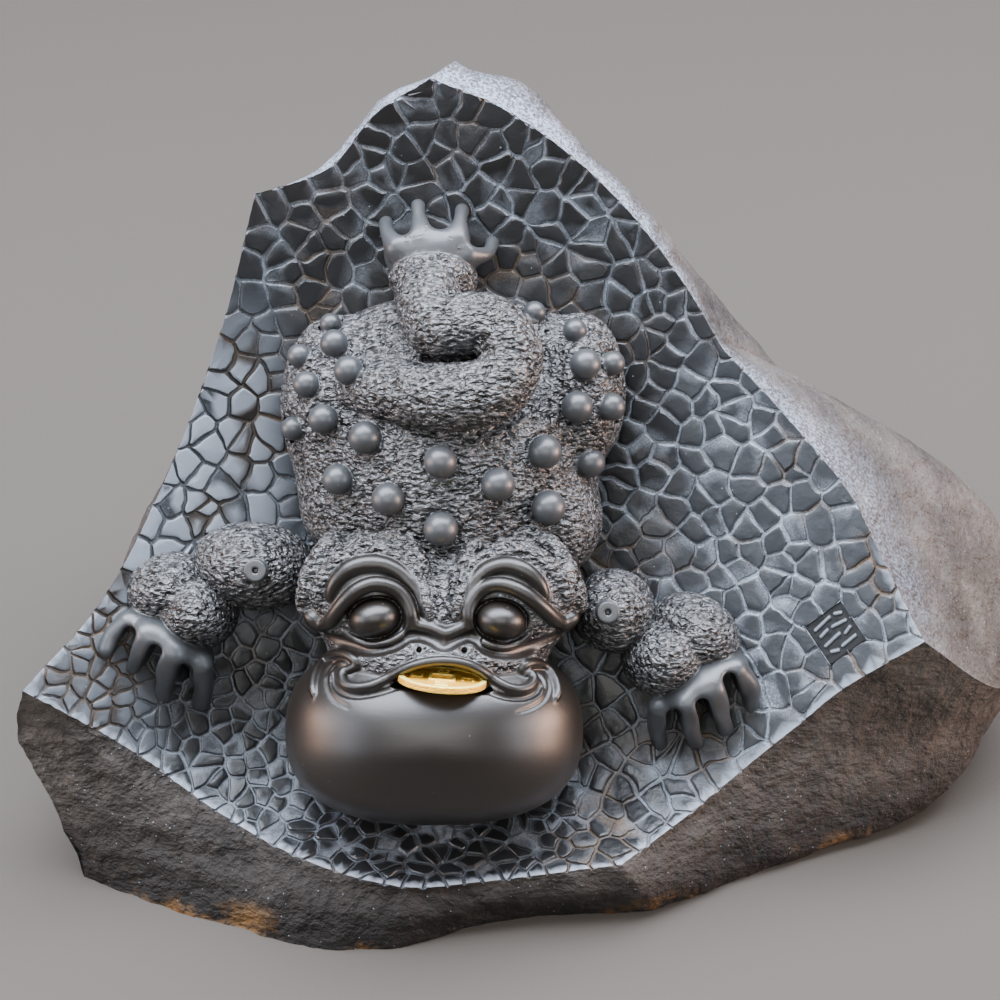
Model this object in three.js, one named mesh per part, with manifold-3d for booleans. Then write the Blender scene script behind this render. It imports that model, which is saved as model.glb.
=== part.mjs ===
// A money toad: a three-legged toad with a coin in its mouth, climbing head down in the hollow of a river stone.
// Stone and toad are carved from one block. The coin is a piece of its own, and lies loose in the mouth.
// Sizes are in millimetres. +Z is up, -Y is the front, and the origin is under the middle of the stone's box.
import * as THREE from 'three';
import { mergeVertices } from 'three/addons/utils/BufferGeometryUtils.js';
import Module from 'manifold-3d';

const { Manifold, Mesh } = await loadSolids();

// The stone's overall size. Its form and the toad's are drawn at that size and stretch with it; the coin doesn't.
const STONE_WIDTH = 283;
const STONE_DEPTH = 174;
const STONE_HEIGHT = 187;

// The carved face has its own frame: s runs right, t runs up the face and h stands out of it, towards the viewer.
const FACE_RISE = THREE.MathUtils.degToRad(50); // how steeply the face climbs from the ground
const FACE_ORIGIN = new THREE.Vector3(-10.7, -12, 96); // where s, t and h are all 0

// The hollow: a scoop that is deepest behind the toad's chin and rises on all sides to the lip.
const HOLLOW_FLOOR = -30;
const HOLLOW_RISE = 42;
const HOLLOW_POWER = 2.2;
const HOLLOW_CENTRE = [-22, -62];
const HOLLOW_REACH = { left: 105, right: 140, down: 46, up: 178 };

// The coin and the seat that holds it.
const COIN_DIAMETER = 23;
const COIN_THICKNESS = 1.9;
const COIN_RIM_WIDTH = 1.5;
const COIN_RIM_HEIGHT = 0.3;
const COIN_HOLE = 5.2; // side of the square hole
const COIN_BORDER_WIDTH = 0.8; // raised border round the hole
const COIN_STROKE = [1, 2.6]; // width and length of the plain stroke on each side of the hole
const COIN_CLEARANCE = 0.3;
const COIN_ON_LIP = [-14.9, -46.6]; // s and t of its middle
const COIN_DROOP = THREE.MathUtils.degToRad(9); // its front edge hangs this much
const COIN_ROLL = THREE.MathUtils.degToRad(-5);

// Warts are half pearls, and each upper arm has a bored knob.
const WART_SINK = 0.25; // share of the radius below the skin
const KNOB_RADIUS = 2.9;
const KNOB_HEIGHT = 2.6;
const KNOB_BORE = 0.8;
const KNOB_BORE_DEPTH = 2;

// The bare square near the right corner.
const PANEL = { at: [90, -36], side: 12.5, depth: 0.9, turn: THREE.MathUtils.degToRad(36) };
const PANEL_STROKES = 3;
const PANEL_STROKE_WIDTH = 1;

// The block, told as stations clockwise round the carved face, seen from the front.
// lip is the edge of the hollow as [s, t]. shoulder, belly and foot lie on the natural skin behind and below it,
// as [x, y, z] from the block's origin, with the foot on the ground. A corner breaks the curve of the lip.
const STATIONS = [
  { corner: true, lip: [-125.3, -50.3], shoulder: [-141.5, -50, 47], belly: [-134.5, -54, 26], foot: [-127, -61] },
  { lip: [-107, -27.6], shoulder: [-121, -9, 52], belly: [-130, -6, 27], foot: [-120, -10] },
  { lip: [-90.5, 5.4], shoulder: [-103, 15, 78], belly: [-120, 35, 38], foot: [-110, 34] },
  { lip: [-75, 45.8], shoulder: [-87, 41, 109], belly: [-108, 62, 50], foot: [-97, 60] },
  { corner: true, lip: [-65, 81], shoulder: [-76, 55, 147], belly: [-90, 77, 72], foot: [-79, 76] },
  { lip: [-45.3, 88.5], shoulder: [-57, 62, 156], belly: [-68, 84, 78], foot: [-58, 82] },
  { lip: [-33, 102], shoulder: [-44, 66, 171], belly: [-50, 86, 86], foot: [-43, 85] },
  { corner: true, lip: [-18.4, 110.7], shoulder: [-22, 68, 184], belly: [-24, 87, 90], foot: [-20, 86] },
  { lip: [0, 103.5], shoulder: [-3, 64, 177], belly: [2, 87, 92], foot: [4, 87] },
  { lip: [20, 90.2], shoulder: [11, 61, 163], belly: [26, 85, 88], foot: [28, 85] },
  { lip: [37.3, 73.3], shoulder: [31, 48, 148], belly: [50, 79, 80], foot: [50, 81] },
  { lip: [51, 55], shoulder: [42, 37, 134], belly: [72, 71, 68], foot: [73, 74] },
  { corner: true, lip: [59.6, 40.5], shoulder: [51, 26, 120], belly: [92, 62, 60], foot: [93, 67] },
  { lip: [74.6, 24.3], shoulder: [67, 20, 112], belly: [112, 52, 56], foot: [109, 56] },
  { lip: [93, 1.3], shoulder: [100, 13, 86], belly: [136, 38, 48], foot: [125, 38] },
  { lip: [100.7, -14.6], shoulder: [110, -4, 72], belly: [140, 24, 42], foot: [129, 22] },
  { corner: true, lip: [111.6, -37.6], shoulder: [127, -30, 43], belly: [141.5, -6, 30], foot: [124, 0] },
  { lip: [91, -51.8], shoulder: [110, -36, 30], belly: [120, -34, 12], foot: [108, -32] },
  { lip: [78.7, -63], shoulder: [88, -46, 22], belly: [97, -46.5, 4], foot: [92, -45] },
  { lip: [52.3, -84.6], shoulder: [48, -63, 14], belly: [52, -65, 5], foot: [56, -63] },
  { corner: true, lip: [32.5, -97.6], shoulder: [27, -76, 13], belly: [31, -75, 5], foot: [31, -73] },
  { lip: [-5.3, -102], shoulder: [-11, -80, 11], belly: [-10, -78, 4], foot: [-10, -77] },
  { lip: [-26.6, -103], shoulder: [-37, -84.5, 11], belly: [-38, -86, 4], foot: [-38, -86] },
  { lip: [-53, -96.7], shoulder: [-63, -80, 12], belly: [-61, -85, 5], foot: [-60, -87] },
  { lip: [-76.8, -84.7], shoulder: [-86, -67, 17], belly: [-87, -75, 7], foot: [-84, -79.5] },
  { lip: [-99, -68.4], shoulder: [-107, -57, 28], belly: [-106, -64, 13], foot: [-104, -71] },
  { lip: [-111.7, -59.6], shoulder: [-121, -54, 38], belly: [-120, -60, 17], foot: [-117, -66] },
];
const STATION_STEPS = 2; // sections from one station to the next
const HOLLOW_RINGS = [0.9, 0.76, 0.57, 0.3]; // shares of the way from the middle to the lip
const HOLLOW_MIDDLE = [-12, -22];

// The toad's masses: at is the centre and radii the half sizes, both along s, t and h. turn is in degrees about h.
const BODY = [
  { at: [-14.5, 13, -10], radii: [40, 41, 29] }, // trunk
  { at: [-12.5, 42, -11], radii: [34, 13, 20] }, // rump
  { at: [-45.4, 26, -8], radii: [13.5, 23, 19] }, // haunches
  { at: [22.2, 29.2, -8], radii: [11.5, 21, 19] },
  { at: [-41.5, -1, -9], radii: [12, 15, 17] }, // shoulders
  { at: [15.5, -5, -9], radii: [12, 15, 17] },
  { at: [-16, -30, -6], radii: [33, 23, 26] }, // skull
];
const MUZZLE = { at: [-16.5, -42, 2], radii: [29, 11, 22.5] };
const CHIN = { at: [-17.6, -61.8, -2], radii: [39.8, 25.2, 31] };
const BROWS = [
  { at: [-33.7, -24.2, 2], radii: [18.3, 16.8, 19] },
  { at: [3.6, -24.6, 2], radii: [17.8, 16.8, 19] },
];
const EYES = [
  { at: [-32.4, -30.8, 17], radii: [6.8, 5.1, 7], turn: 12 },
  { at: [0.2, -31.4, 17], radii: [6.6, 5.1, 7], turn: -8 },
];
const SOCKET_MARGIN = 1.3; // how much wider than the eye its socket is cut
const SOCKET_LIFT = 2.5; // how much nearer the viewer the middle of the socket is
const ARMS = [
  { at: [-66.6, -18.1, -12], radii: [16.6, 11.8, 19], turn: -8 }, // upper arms
  { at: [31, -30.4, -12], radii: [11.2, 11.3, 19] },
  { at: [-90, -24.6, -12], radii: [11.4, 10, 16], turn: 20 }, // elbows
  { at: [54, -36.4, -12], radii: [10.8, 10, 16], turn: -20 },
  { at: [-82, -30.4, -12], radii: [10.6, 10.4, 19] }, // wrists
  { at: [45.4, -43.2, -12], radii: [12, 11, 19] },
];
const PALMS = [
  { at: [-92.5, -37.4, -12], radii: [14.5, 7.4, 15.5], turn: -32 },
  { at: [55.6, -52, -12], radii: [14.5, 7.6, 15.5], turn: 32 },
];
const KNOBS = [
  [-64.4, -18.8],
  [28.4, -29.8],
];

// Fingers and toes, as [s, t] from root to tip. They bend down from the palm to the hollow.
const FINGERS = [
  [[-98, -31], [-102.8, -35.6], [-105, -40]],
  [[-92.5, -35], [-96, -40], [-98.6, -44.8]],
  [[-86, -39.5], [-88.8, -46.5], [-90.6, -52.4]],
  [[-80, -37], [-80.2, -46], [-81.8, -54.6]],
  [[45.5, -56], [43.4, -62.8], [44.8, -67.6]],
  [[51, -55], [52.4, -61.4], [53.8, -66.8]],
  [[57, -51.6], [60, -58], [62, -63.4]],
  [[62, -46.6], [66.6, -51.6], [68.6, -56.2]],
];
const TOES = [
  [[-27, 66.5], [-30.4, 70.4], [-30.6, 73.6]],
  [[-22.4, 69.5], [-21.2, 75.6], [-20.6, 79.2]],
  [[-13.2, 69.5], [-11.4, 74.8], [-10.6, 78]],
  [[-8.8, 63.4], [-3.4, 63.6], [-2.4, 69.4]],
];
const DIGIT_RADIUS = 2.2;
const DIGIT_ROOT_H = 0.5;
const DIGIT_TIP_RISE = 1.6; // height of a fingertip's middle over the hollow

// The one hind leg, curled on the back, as [s, t, h, radius].
const HIND_LEG = [
  [-41, 30.5, 5, 7.5],
  [-26, 27.6, 12, 8.6],
  [-11.8, 26, 15.5, 9],
  [0.8, 29.4, 16.5, 8.8],
  [5.4, 38.6, 15.5, 8.4],
  [-2.6, 46.4, 15.5, 8.2],
  [-15.6, 45.4, 16, 8.4],
  [-18.8, 53, 10, 8.6],
];
const ANKLE = { at: [-17.8, 60.4, 1], radii: [12.1, 8.6, 11] };
const HIND_PALM = { at: [-17.4, 67.4, -2], radii: [13.4, 7.2, 8.5] };

// Warts, as [s, t, radius].
const WARTS = [
  [-45.2, 46.8, 2.9], [-43.8, 41.2, 3.7], [-53.2, 38, 3.2], [-39.6, 33.6, 3.8], [-51, 30.2, 3.5],
  [-46.4, 21, 3.9], [-54.8, 18.8, 3.2], [-35.2, 16, 4.3], [-42.6, 5.2, 4], [-29.2, 0, 4.3],
  [-15.4, 9.6, 4.3], [-0.4, 3.8, 4.3], [-15.4, -7.8, 4.5], [11.8, 12.4, 4.4], [24, 9.8, 4],
  [12.8, -2.2, 4.5], [20.2, 24.2, 4.2], [29.4, 24.4, 3.7], [22.4, 35.4, 4.1], [29.8, 36, 3.3],
  [19.8, 44.8, 3.2], [9.2, 50, 3.1],
];

// Ridges of the face, as [s, t, radius]. They follow the skin below them.
const RIDGES = [
  [[-44.4, -27.4, 0.6], [-40.4, -20.8, 1.8], [-34, -18.4, 2.1], [-26.6, -21.4, 1.9], [-21.2, -32, 0.8]],
  [[-9.8, -32, 0.8], [-5, -20.6, 1.9], [3.4, -18.4, 2.1], [8.6, -21.4, 1.7], [11.6, -26.6, 0.6]],
  [[-47.5, -32.4, 1.2], [-38.4, -25, 1.4], [-31.4, -23.6, 1.4], [-24.4, -28.6, 1.4], [-25.4, -36.4, 1.2],
    [-32, -39, 1.2], [-41.2, -35.4, 0.9]],
  [[17.5, -31, 1.2], [7.4, -25, 1.4], [0.6, -23.6, 1.4], [-6.8, -28.6, 1.4], [-6.8, -36.4, 1.2], [0, -39, 1.2],
    [8.6, -35.4, 0.9]],
  [[-18, -16, 1.6], [-17, -26, 1.8], [-16.6, -35, 2.6]], // bridge of the snout
  [[-40.6, -43.6, 0.8], [-39.4, -47.8, 1.2], [-31.6, -47, 1.4], [-22.6, -42.4, 1.4], [-14.5, -41, 1.4],
    [-6.4, -43.6, 1.4], [1, -49, 1.4], [7.4, -49.4, 1.2], [8.8, -45.4, 0.8]], // upper lip
];
const NOSTRILS = [
  [-21, -39.6],
  [-9.6, -39.9],
];
const NOSTRIL_RADIUS = 0.8;
// The open mouth between the lips, as corners [s, t] from the left corner along the upper lip and back.
const MOUTH = [
  [-37.5, -50], [-31.6, -48.2], [-22.6, -43.6], [-14.5, -42.2], [-6.4, -44.8], [3.5, -52], [-3.3, -50.8], [-15, -49.8], [-26, -49.2],
];
const MOUTH_BACK = 9; // h of the back of the mouth, which the coin's edge stands clear of
const OUT_OF_HEAD = 45; // an h clear of the whole head

const STONE = new THREE.MeshStandardMaterial({ color: 0x26262a, roughness: 0.55, metalness: 0 });
const GOLD = new THREE.MeshStandardMaterial({ color: 0xd9a53a, roughness: 0.25, metalness: 1 });

async function loadSolids() {
  const library = await Module();
  library.setup();
  return library;
}

// A closed three.js geometry as a solid.
function solid(geometry) {
  const bare = new THREE.BufferGeometry();
  bare.setAttribute('position', geometry.getAttribute('position').clone());
  bare.setIndex(geometry.index);
  const merged = mergeVertices(bare, 1e-4);
  const corners = [];
  for (let i = 0; i < merged.index.count; i += 3) {
    const [a, b, c] = [0, 1, 2].map((k) => merged.index.getX(i + k));
    if (a !== b && b !== c && c !== a) corners.push(a, b, c);
  }
  return new Manifold(new Mesh({
    numProp: 3,
    vertProperties: new Float32Array(merged.attributes.position.array),
    triVerts: new Uint32Array(corners),
  }));
}

// A solid back as a three.js geometry.
function geometryOf(made) {
  const mesh = made.getMesh();
  const geometry = new THREE.BufferGeometry();
  geometry.setAttribute('position', new THREE.BufferAttribute(mesh.vertProperties, mesh.numProp));
  geometry.setIndex(new THREE.BufferAttribute(mesh.triVerts, 1));
  return geometry;
}

// The matrix from the face's frame to the block's.
function faceMatrix() {
  return new THREE.Matrix4().makeRotationX(FACE_RISE).setPosition(FACE_ORIGIN);
}

// Height of the hollow's surface at a place on the face.
function hollow(s, t) {
  const [middleS, middleT] = HOLLOW_CENTRE;
  const across = (s - middleS) / (s < middleS ? HOLLOW_REACH.left : HOLLOW_REACH.right);
  const along = (t - middleT) / (t < middleT ? HOLLOW_REACH.down : HOLLOW_REACH.up);
  return HOLLOW_FLOOR + HOLLOW_RISE * Math.hypot(across, along) ** HOLLOW_POWER;
}

// One row of points round the block: a curve through a stretch of stations, broken at the corners.
function rowThrough(points) {
  const starts = STATIONS.flatMap((station, i) => (station.corner ? [i] : []));
  return starts.flatMap((start, n) => {
    const end = n + 1 < starts.length ? starts[n + 1] : starts[0] + STATIONS.length;
    const stretch = [];
    for (let i = start; i <= end; i++) stretch.push(points[i % points.length]);
    const curve = new THREE.CatmullRomCurve3(stretch, false, 'centripetal');
    const sections = (end - start) * STATION_STEPS;
    return Array.from({ length: sections }, (_, i) => curve.getPoint(i / sections));
  });
}

// The block with its hollow: rows from the middle of the hollow out to the lip, down the skin and in under the foot.
function blockAsDrawn() {
  const toBlock = faceMatrix();
  const onFace = (s, t) => new THREE.Vector3(s, t, hollow(s, t)).applyMatrix4(toBlock);
  const lipFlat = rowThrough(STATIONS.map(({ lip }) => new THREE.Vector3(lip[0], lip[1], 0)));
  const scoop = [...HOLLOW_RINGS].reverse().map((share) => lipFlat.map((p) => onFace(
    HOLLOW_MIDDLE[0] + (p.x - HOLLOW_MIDDLE[0]) * share,
    HOLLOW_MIDDLE[1] + (p.y - HOLLOW_MIDDLE[1]) * share,
  )));
  const lip = lipFlat.map((p) => onFace(p.x, p.y));
  const [shoulder, belly, foot] = ['shoulder', 'belly', 'foot'].map((row) => (
    rowThrough(STATIONS.map((station) => new THREE.Vector3(station[row][0], station[row][1], station[row][2] ?? 0)))
  ));
  const rows = [...scoop, lip, shoulder, belly, foot];
  const count = lip.length;
  const points = rows.flat();
  const middle = points.push(onFace(...HOLLOW_MIDDLE)) - 1;
  const under = points.push(new THREE.Vector3(0, 0, 0)) - 1;
  const index = [];
  const last = (rows.length - 1) * count;
  for (let i = 0; i < count; i++) {
    const next = (i + 1) % count;
    index.push(middle, next, i);
    for (let row = 0; row < last; row += count) {
      index.push(row + i, row + next, row + count + i, row + next, row + count + next, row + count + i);
    }
    index.push(last + i, last + next, under);
  }
  return new THREE.BufferGeometry().setFromPoints(points).setIndex(index);
}

// The matrix that sets the block as drawn to its stated width, depth and height, over the origin.
function stretchOf(block) {
  block.computeBoundingBox();
  const size = block.boundingBox.getSize(new THREE.Vector3());
  const middle = block.boundingBox.getCenter(new THREE.Vector3());
  return new THREE.Matrix4()
    .makeScale(STONE_WIDTH / size.x, STONE_DEPTH / size.y, STONE_HEIGHT / size.z)
    .multiply(new THREE.Matrix4().makeTranslation(-middle.x, -middle.y, -block.boundingBox.min.z));
}

function ellipsoid({ at, radii, turn = 0 }, sides, rows) {
  return new THREE.SphereGeometry(1, sides, rows)
    .rotateX(Math.PI / 2)
    .scale(...radii)
    .rotateZ(THREE.MathUtils.degToRad(turn))
    .translate(...at);
}

// Height of the top of an ellipsoid at a place on the face, or -Infinity beside it.
function topOf({ at, radii, turn = 0 }, s, t) {
  const p = new THREE.Vector2(s - at[0], t - at[1]).rotateAround(new THREE.Vector2(), -THREE.MathUtils.degToRad(turn));
  const left = 1 - (p.x / radii[0]) ** 2 - (p.y / radii[1]) ** 2;
  return left > 0 ? at[2] + radii[2] * Math.sqrt(left) : -Infinity;
}

// Height of the toad's skin, or of the hollow where the toad isn't.
function skin(s, t) {
  const masses = [...BODY, MUZZLE, CHIN, ...BROWS, ...ARMS];
  return Math.max(hollow(s, t), ...masses.map((mass) => topOf(mass, s, t)));
}

// A round limb through points [x, y, z, radius], with rounded ends: a capsule bent along the curve.
function limb(points, sides, steps, capRows = 2) {
  const path = new THREE.CatmullRomCurve3(points.map(([x, y, z]) => new THREE.Vector3(x, y, z)), false, 'centripetal');
  const widths = new THREE.CatmullRomCurve3(points.map((p) => new THREE.Vector3(p[3], 0, 0)), false, 'catmullrom');
  const frames = path.computeFrenetFrames(steps);
  const geometry = new THREE.CapsuleGeometry(1, steps, capRows, sides, steps);
  const place = geometry.getAttribute('position');
  for (let i = 0; i < place.count; i++) {
    const y = place.getY(i) + steps / 2;
    const step = Math.round(THREE.MathUtils.clamp(y, 0, steps));
    const along = step / steps;
    const radius = widths.getPoint(along).x;
    const p = path.getPoint(along)
      .addScaledVector(frames.tangents[step], (y - step) * radius)
      .addScaledVector(frames.normals[step], place.getX(i) * radius)
      .addScaledVector(frames.binormals[step], -place.getZ(i) * radius);
    place.setXYZ(i, p.x, p.y, p.z);
  }
  return geometry;
}

// A fold of the face: a thin limb half sunk in the skin.
function fold(points, steps) {
  return limb(points.map(([s, t, radius]) => [s, t, skin(s, t), radius]), 4, steps, 1);
}

function digit([root, middle, tip]) {
  const end = hollow(...tip) + DIGIT_TIP_RISE;
  return limb([
    [...root, DIGIT_ROOT_H, DIGIT_RADIUS * 1.15],
    [...middle, THREE.MathUtils.lerp(end, DIGIT_ROOT_H, 0.55), DIGIT_RADIUS],
    [...tip, end, DIGIT_RADIUS * 0.95],
  ], 5, 2, 1);
}

// Everything that is added to the block.
function toadMasses() {
  const warts = WARTS.map(([s, t, r]) => ellipsoid({ at: [s, t, skin(s, t) + r * (0.5 - WART_SINK)], radii: [r, r, r] }, 6, 4));
  const knobs = KNOBS.map(([s, t]) => new THREE.CylinderGeometry(KNOB_RADIUS * 0.9, KNOB_RADIUS, 2 * KNOB_HEIGHT, 8)
    .rotateX(Math.PI / 2).translate(s, t, skin(s, t)));
  return [
    ...BODY.map((mass) => ellipsoid(mass, 12, 7)),
    ellipsoid(CHIN, 20, 10),
    ellipsoid(MUZZLE, 14, 7),
    ...BROWS.map((brow) => ellipsoid(brow, 12, 7)),
    ...ARMS.map((mass) => ellipsoid(mass, 10, 6)),
    ...PALMS.map((mass) => ellipsoid(mass, 10, 6)),
    ...FINGERS.map(digit),
    ...TOES.map(digit),
    ellipsoid(ANKLE, 10, 6),
    ellipsoid(HIND_PALM, 10, 6),
    limb(HIND_LEG, 8, 14, 2),
    ...RIDGES.map((ridge) => fold(ridge, ridge.length)),
    ...warts,
    ...knobs,
  ];
}

// What is cut from the toad before its eyes go in.
function toadCuts() {
  const sockets = EYES.map(({ at, radii, turn }) => ellipsoid({
    at: [at[0], at[1], at[2] + SOCKET_LIFT],
    radii: [radii[0] + SOCKET_MARGIN, radii[1] + SOCKET_MARGIN, radii[2] - SOCKET_LIFT],
    turn,
  }, 10, 6));
  const nostrils = NOSTRILS.map(([s, t]) => ellipsoid({ at: [s, t, skin(s, t)], radii: Array(3).fill(NOSTRIL_RADIUS) }, 6, 4));
  const bores = KNOBS.map(([s, t]) => new THREE.CylinderGeometry(KNOB_BORE, KNOB_BORE, 2 * KNOB_BORE_DEPTH, 6)
    .rotateX(Math.PI / 2).translate(s, t, skin(s, t) + KNOB_HEIGHT));
  const mouth = new THREE.ExtrudeGeometry(
    new THREE.Shape(MOUTH.map(([s, t]) => new THREE.Vector2(s, t))),
    { depth: OUT_OF_HEAD - MOUTH_BACK, bevelEnabled: false },
  ).translate(0, 0, MOUTH_BACK);
  return [...sockets, ...nostrils, ...bores, mouth];
}

// From the coin's own frame, with its axis along +Z, to the block's. The stretch moves the coin but keeps its size.
function coinMatrix(stretch) {
  const inMouth = MOUTH_BACK + COIN_CLEARANCE + (COIN_DIAMETER + COIN_THICKNESS * Math.sin(COIN_DROOP)) / 2;
  const middle = new THREE.Vector3(...COIN_ON_LIP, inMouth).applyMatrix4(faceMatrix()).applyMatrix4(stretch);
  return new THREE.Matrix4()
    .makeRotationX(FACE_RISE)
    .multiply(new THREE.Matrix4().makeRotationFromEuler(
      new THREE.Euler(-Math.PI / 2 + COIN_DROOP, 0, COIN_ROLL, 'ZXY'),
    ))
    .setPosition(middle);
}

// The room for the coin: its own disc, larger by the clearance all round.
function coinSeat() {
  const radius = COIN_DIAMETER / 2 + COIN_CLEARANCE;
  return new THREE.CylinderGeometry(radius, radius, COIN_THICKNESS + 2 * COIN_CLEARANCE, 32).rotateX(Math.PI / 2);
}

// The bare square and its shallow strokes, which are cut deeper.
function panelCuts() {
  const [s, t] = PANEL.at;
  const box = (width, height, depth, x, y) => new THREE.BoxGeometry(width, height, 2 * depth)
    .translate(x, y, 0)
    .applyMatrix4(new THREE.Matrix4().lookAt(hollowNormal(s, t), new THREE.Vector3(), new THREE.Vector3(0, 1, 0)))
    .applyMatrix4(new THREE.Matrix4().makeTranslation(s, t, hollow(s, t)));
  const pitch = PANEL.side / (PANEL_STROKES + 1);
  const strokes = Array.from({ length: PANEL_STROKES }, (_, i) => (
    [PANEL.side * 0.6, PANEL_STROKE_WIDTH, 2 * PANEL.depth, 0, (i - (PANEL_STROKES - 1) / 2) * pitch]
  ));
  return [[PANEL.side, PANEL.side, PANEL.depth, 0, 0], ...strokes].map((size) => (
    box(...size).translate(-s, -t, 0).rotateZ(PANEL.turn).translate(s, t, 0)
  ));
}

function hollowNormal(s, t) {
  const step = 0.5;
  const slope = (ds, dt) => (hollow(s + ds, t + dt) - hollow(s - ds, t - dt)) / (2 * step);
  return new THREE.Vector3(-slope(step, 0), -slope(0, step), 1).normalize();
}

function stoneCarving(block, stretch) {
  const inBlock = stretch.clone().multiply(faceMatrix());
  const together = (geometries) => Manifold.union(geometries.map((shape) => solid(shape.applyMatrix4(inBlock))));
  const eyes = EYES.map((eye) => ellipsoid(eye, 12, 8));
  const carving = solid(block.applyMatrix4(stretch))
    .subtract(together(panelCuts()))
    .add(together(toadMasses()).subtract(together(toadCuts())))
    .add(together(eyes))
    .subtract(solid(coinSeat().applyMatrix4(coinMatrix(stretch))));
  const mesh = new THREE.Mesh(geometryOf(carving), STONE);
  mesh.name = 'stone_carving';
  return mesh;
}

// A cast coin: a turned disc with a raised rim, a square hole and a raised border round it.
function coin(stretch) {
  const radius = COIN_DIAMETER / 2;
  const half = COIN_THICKNESS / 2;
  const field = half - COIN_RIM_HEIGHT;
  const profile = [
    [0, -field], [radius - COIN_RIM_WIDTH, -field], [radius - COIN_RIM_WIDTH, -half], [radius, -half],
    [radius, half], [radius - COIN_RIM_WIDTH, half], [radius - COIN_RIM_WIDTH, field], [0, field],
  ].map(([x, y]) => new THREE.Vector2(x, y));
  const borderSide = COIN_HOLE + 2 * COIN_BORDER_WIDTH;
  const disc = solid(new THREE.LatheGeometry(profile, 32).rotateX(Math.PI / 2));
  const border = solid(new THREE.BoxGeometry(borderSide, borderSide, COIN_THICKNESS));
  const hole = solid(new THREE.BoxGeometry(COIN_HOLE, COIN_HOLE, 2 * COIN_THICKNESS));
  const strokesOut = (borderSide / 2 + radius - COIN_RIM_WIDTH) / 2;
  const strokes = [0, 1, 2, 3].map((quarter) => solid(
    new THREE.BoxGeometry(...COIN_STROKE, COIN_THICKNESS)
      .translate(strokesOut, 0, 0)
      .rotateZ(quarter * Math.PI / 2),
  ));
  const mesh = new THREE.Mesh(geometryOf(Manifold.union([disc, border, ...strokes]).subtract(hole)), GOLD);
  mesh.name = 'coin';
  mesh.applyMatrix4(coinMatrix(stretch));
  return mesh;
}

const block = blockAsDrawn();
const stretch = stretchOf(block);
const toad = new THREE.Group();
toad.add(stoneCarving(block, stretch), coin(stretch));
export default toad;
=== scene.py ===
"""A money toad: a three-legged toad with a coin in its mouth, carved in the hollow of a dark river stone.

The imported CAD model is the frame. Each piece here stands for one of its nodes, with the carving, the
cobbles and the finishes that the solids leave out. Shapes are worked out in millimetres, and turned to
metres as meshes are made.
"""

from __future__ import annotations

import logging
import math
from dataclasses import dataclass, field
from enum import Enum
from functools import partial
from itertools import product
from typing import Callable, ClassVar, Protocol, Sequence

import bmesh
import bpy
import numpy as np
from mathutils import Matrix, Vector

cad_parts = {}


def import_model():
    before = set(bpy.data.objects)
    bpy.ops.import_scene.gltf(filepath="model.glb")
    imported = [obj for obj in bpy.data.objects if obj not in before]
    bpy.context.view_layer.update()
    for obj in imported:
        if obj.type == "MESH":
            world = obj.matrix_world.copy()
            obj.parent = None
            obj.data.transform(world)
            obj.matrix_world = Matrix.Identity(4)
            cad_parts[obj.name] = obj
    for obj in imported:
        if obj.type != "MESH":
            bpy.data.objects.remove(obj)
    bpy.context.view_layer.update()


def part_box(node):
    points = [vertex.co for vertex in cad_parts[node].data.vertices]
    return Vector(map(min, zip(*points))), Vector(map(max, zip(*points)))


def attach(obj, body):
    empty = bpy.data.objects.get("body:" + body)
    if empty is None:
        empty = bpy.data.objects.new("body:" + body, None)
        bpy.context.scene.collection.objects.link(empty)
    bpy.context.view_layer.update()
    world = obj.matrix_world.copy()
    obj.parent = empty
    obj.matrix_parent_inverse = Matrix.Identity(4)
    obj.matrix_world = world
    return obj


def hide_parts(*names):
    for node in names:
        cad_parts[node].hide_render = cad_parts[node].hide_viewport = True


LOG = logging.getLogger("money_toad")
MM = 0.001

FACE_RISE = math.radians(50)  # how steeply the carved face climbs from the ground
FACE_ORIGIN = (-10.7, -12.0, 96.0)  # mm from the block's origin, where s, t and h are all 0

Array = np.ndarray
Pair = tuple[float, float]
Triple = tuple[float, float, float]
Curve = tuple[Pair, ...]


class Skin(Enum):
    """How the carver left a surface."""

    CHISELLED = 0.0
    SATIN = 0.7
    WAXED = 1.0


# Numbers and noise


def smooth(low: float, high: float, value: Array) -> Array:
    """A soft step from 0 at low to 1 at high, for each value."""
    share = np.clip((value - low) / (high - low), 0, 1)
    return share * share * (3 - 2 * share)


def lattice(cell: Array, seed: int) -> Array:
    """A fixed random number from 0 to 1 for each whole-numbered place.

    Args:
        cell: whole coordinates, with x, y and z last.
        seed: picks one of many patterns.

    Returns:
        One number a place.
    """
    mixed = cell[..., 0] * 374761393 + cell[..., 1] * 668265263 + cell[..., 2] * 1440662683 + seed * 974634777
    mixed = ((mixed ^ (mixed >> 13)) & 0x7FFFFFFF) * 1274126177
    mixed = (mixed ^ (mixed >> 16)) & 0xFFFFFF
    return mixed / float(0xFFFFFF)


def cloud(points: Array, size: float, seed: int) -> Array:
    """Smooth noise in space.

    Args:
        points: places, one a row.
        size: how far apart its lumps are, in the points' unit.
        seed: picks one of many patterns.

    Returns:
        -1 to 1 for each place.
    """
    place = points / size
    cell = np.floor(place).astype(np.int64)
    share = place - cell
    share = share * share * (3 - 2 * share)
    total = np.zeros(len(points))
    for corner in product((0, 1), repeat=3):
        weight = np.prod(np.where(corner, share, 1 - share), axis=1)
        total += weight * lattice(cell + np.array(corner), seed)
    return 2 * total - 1


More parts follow.
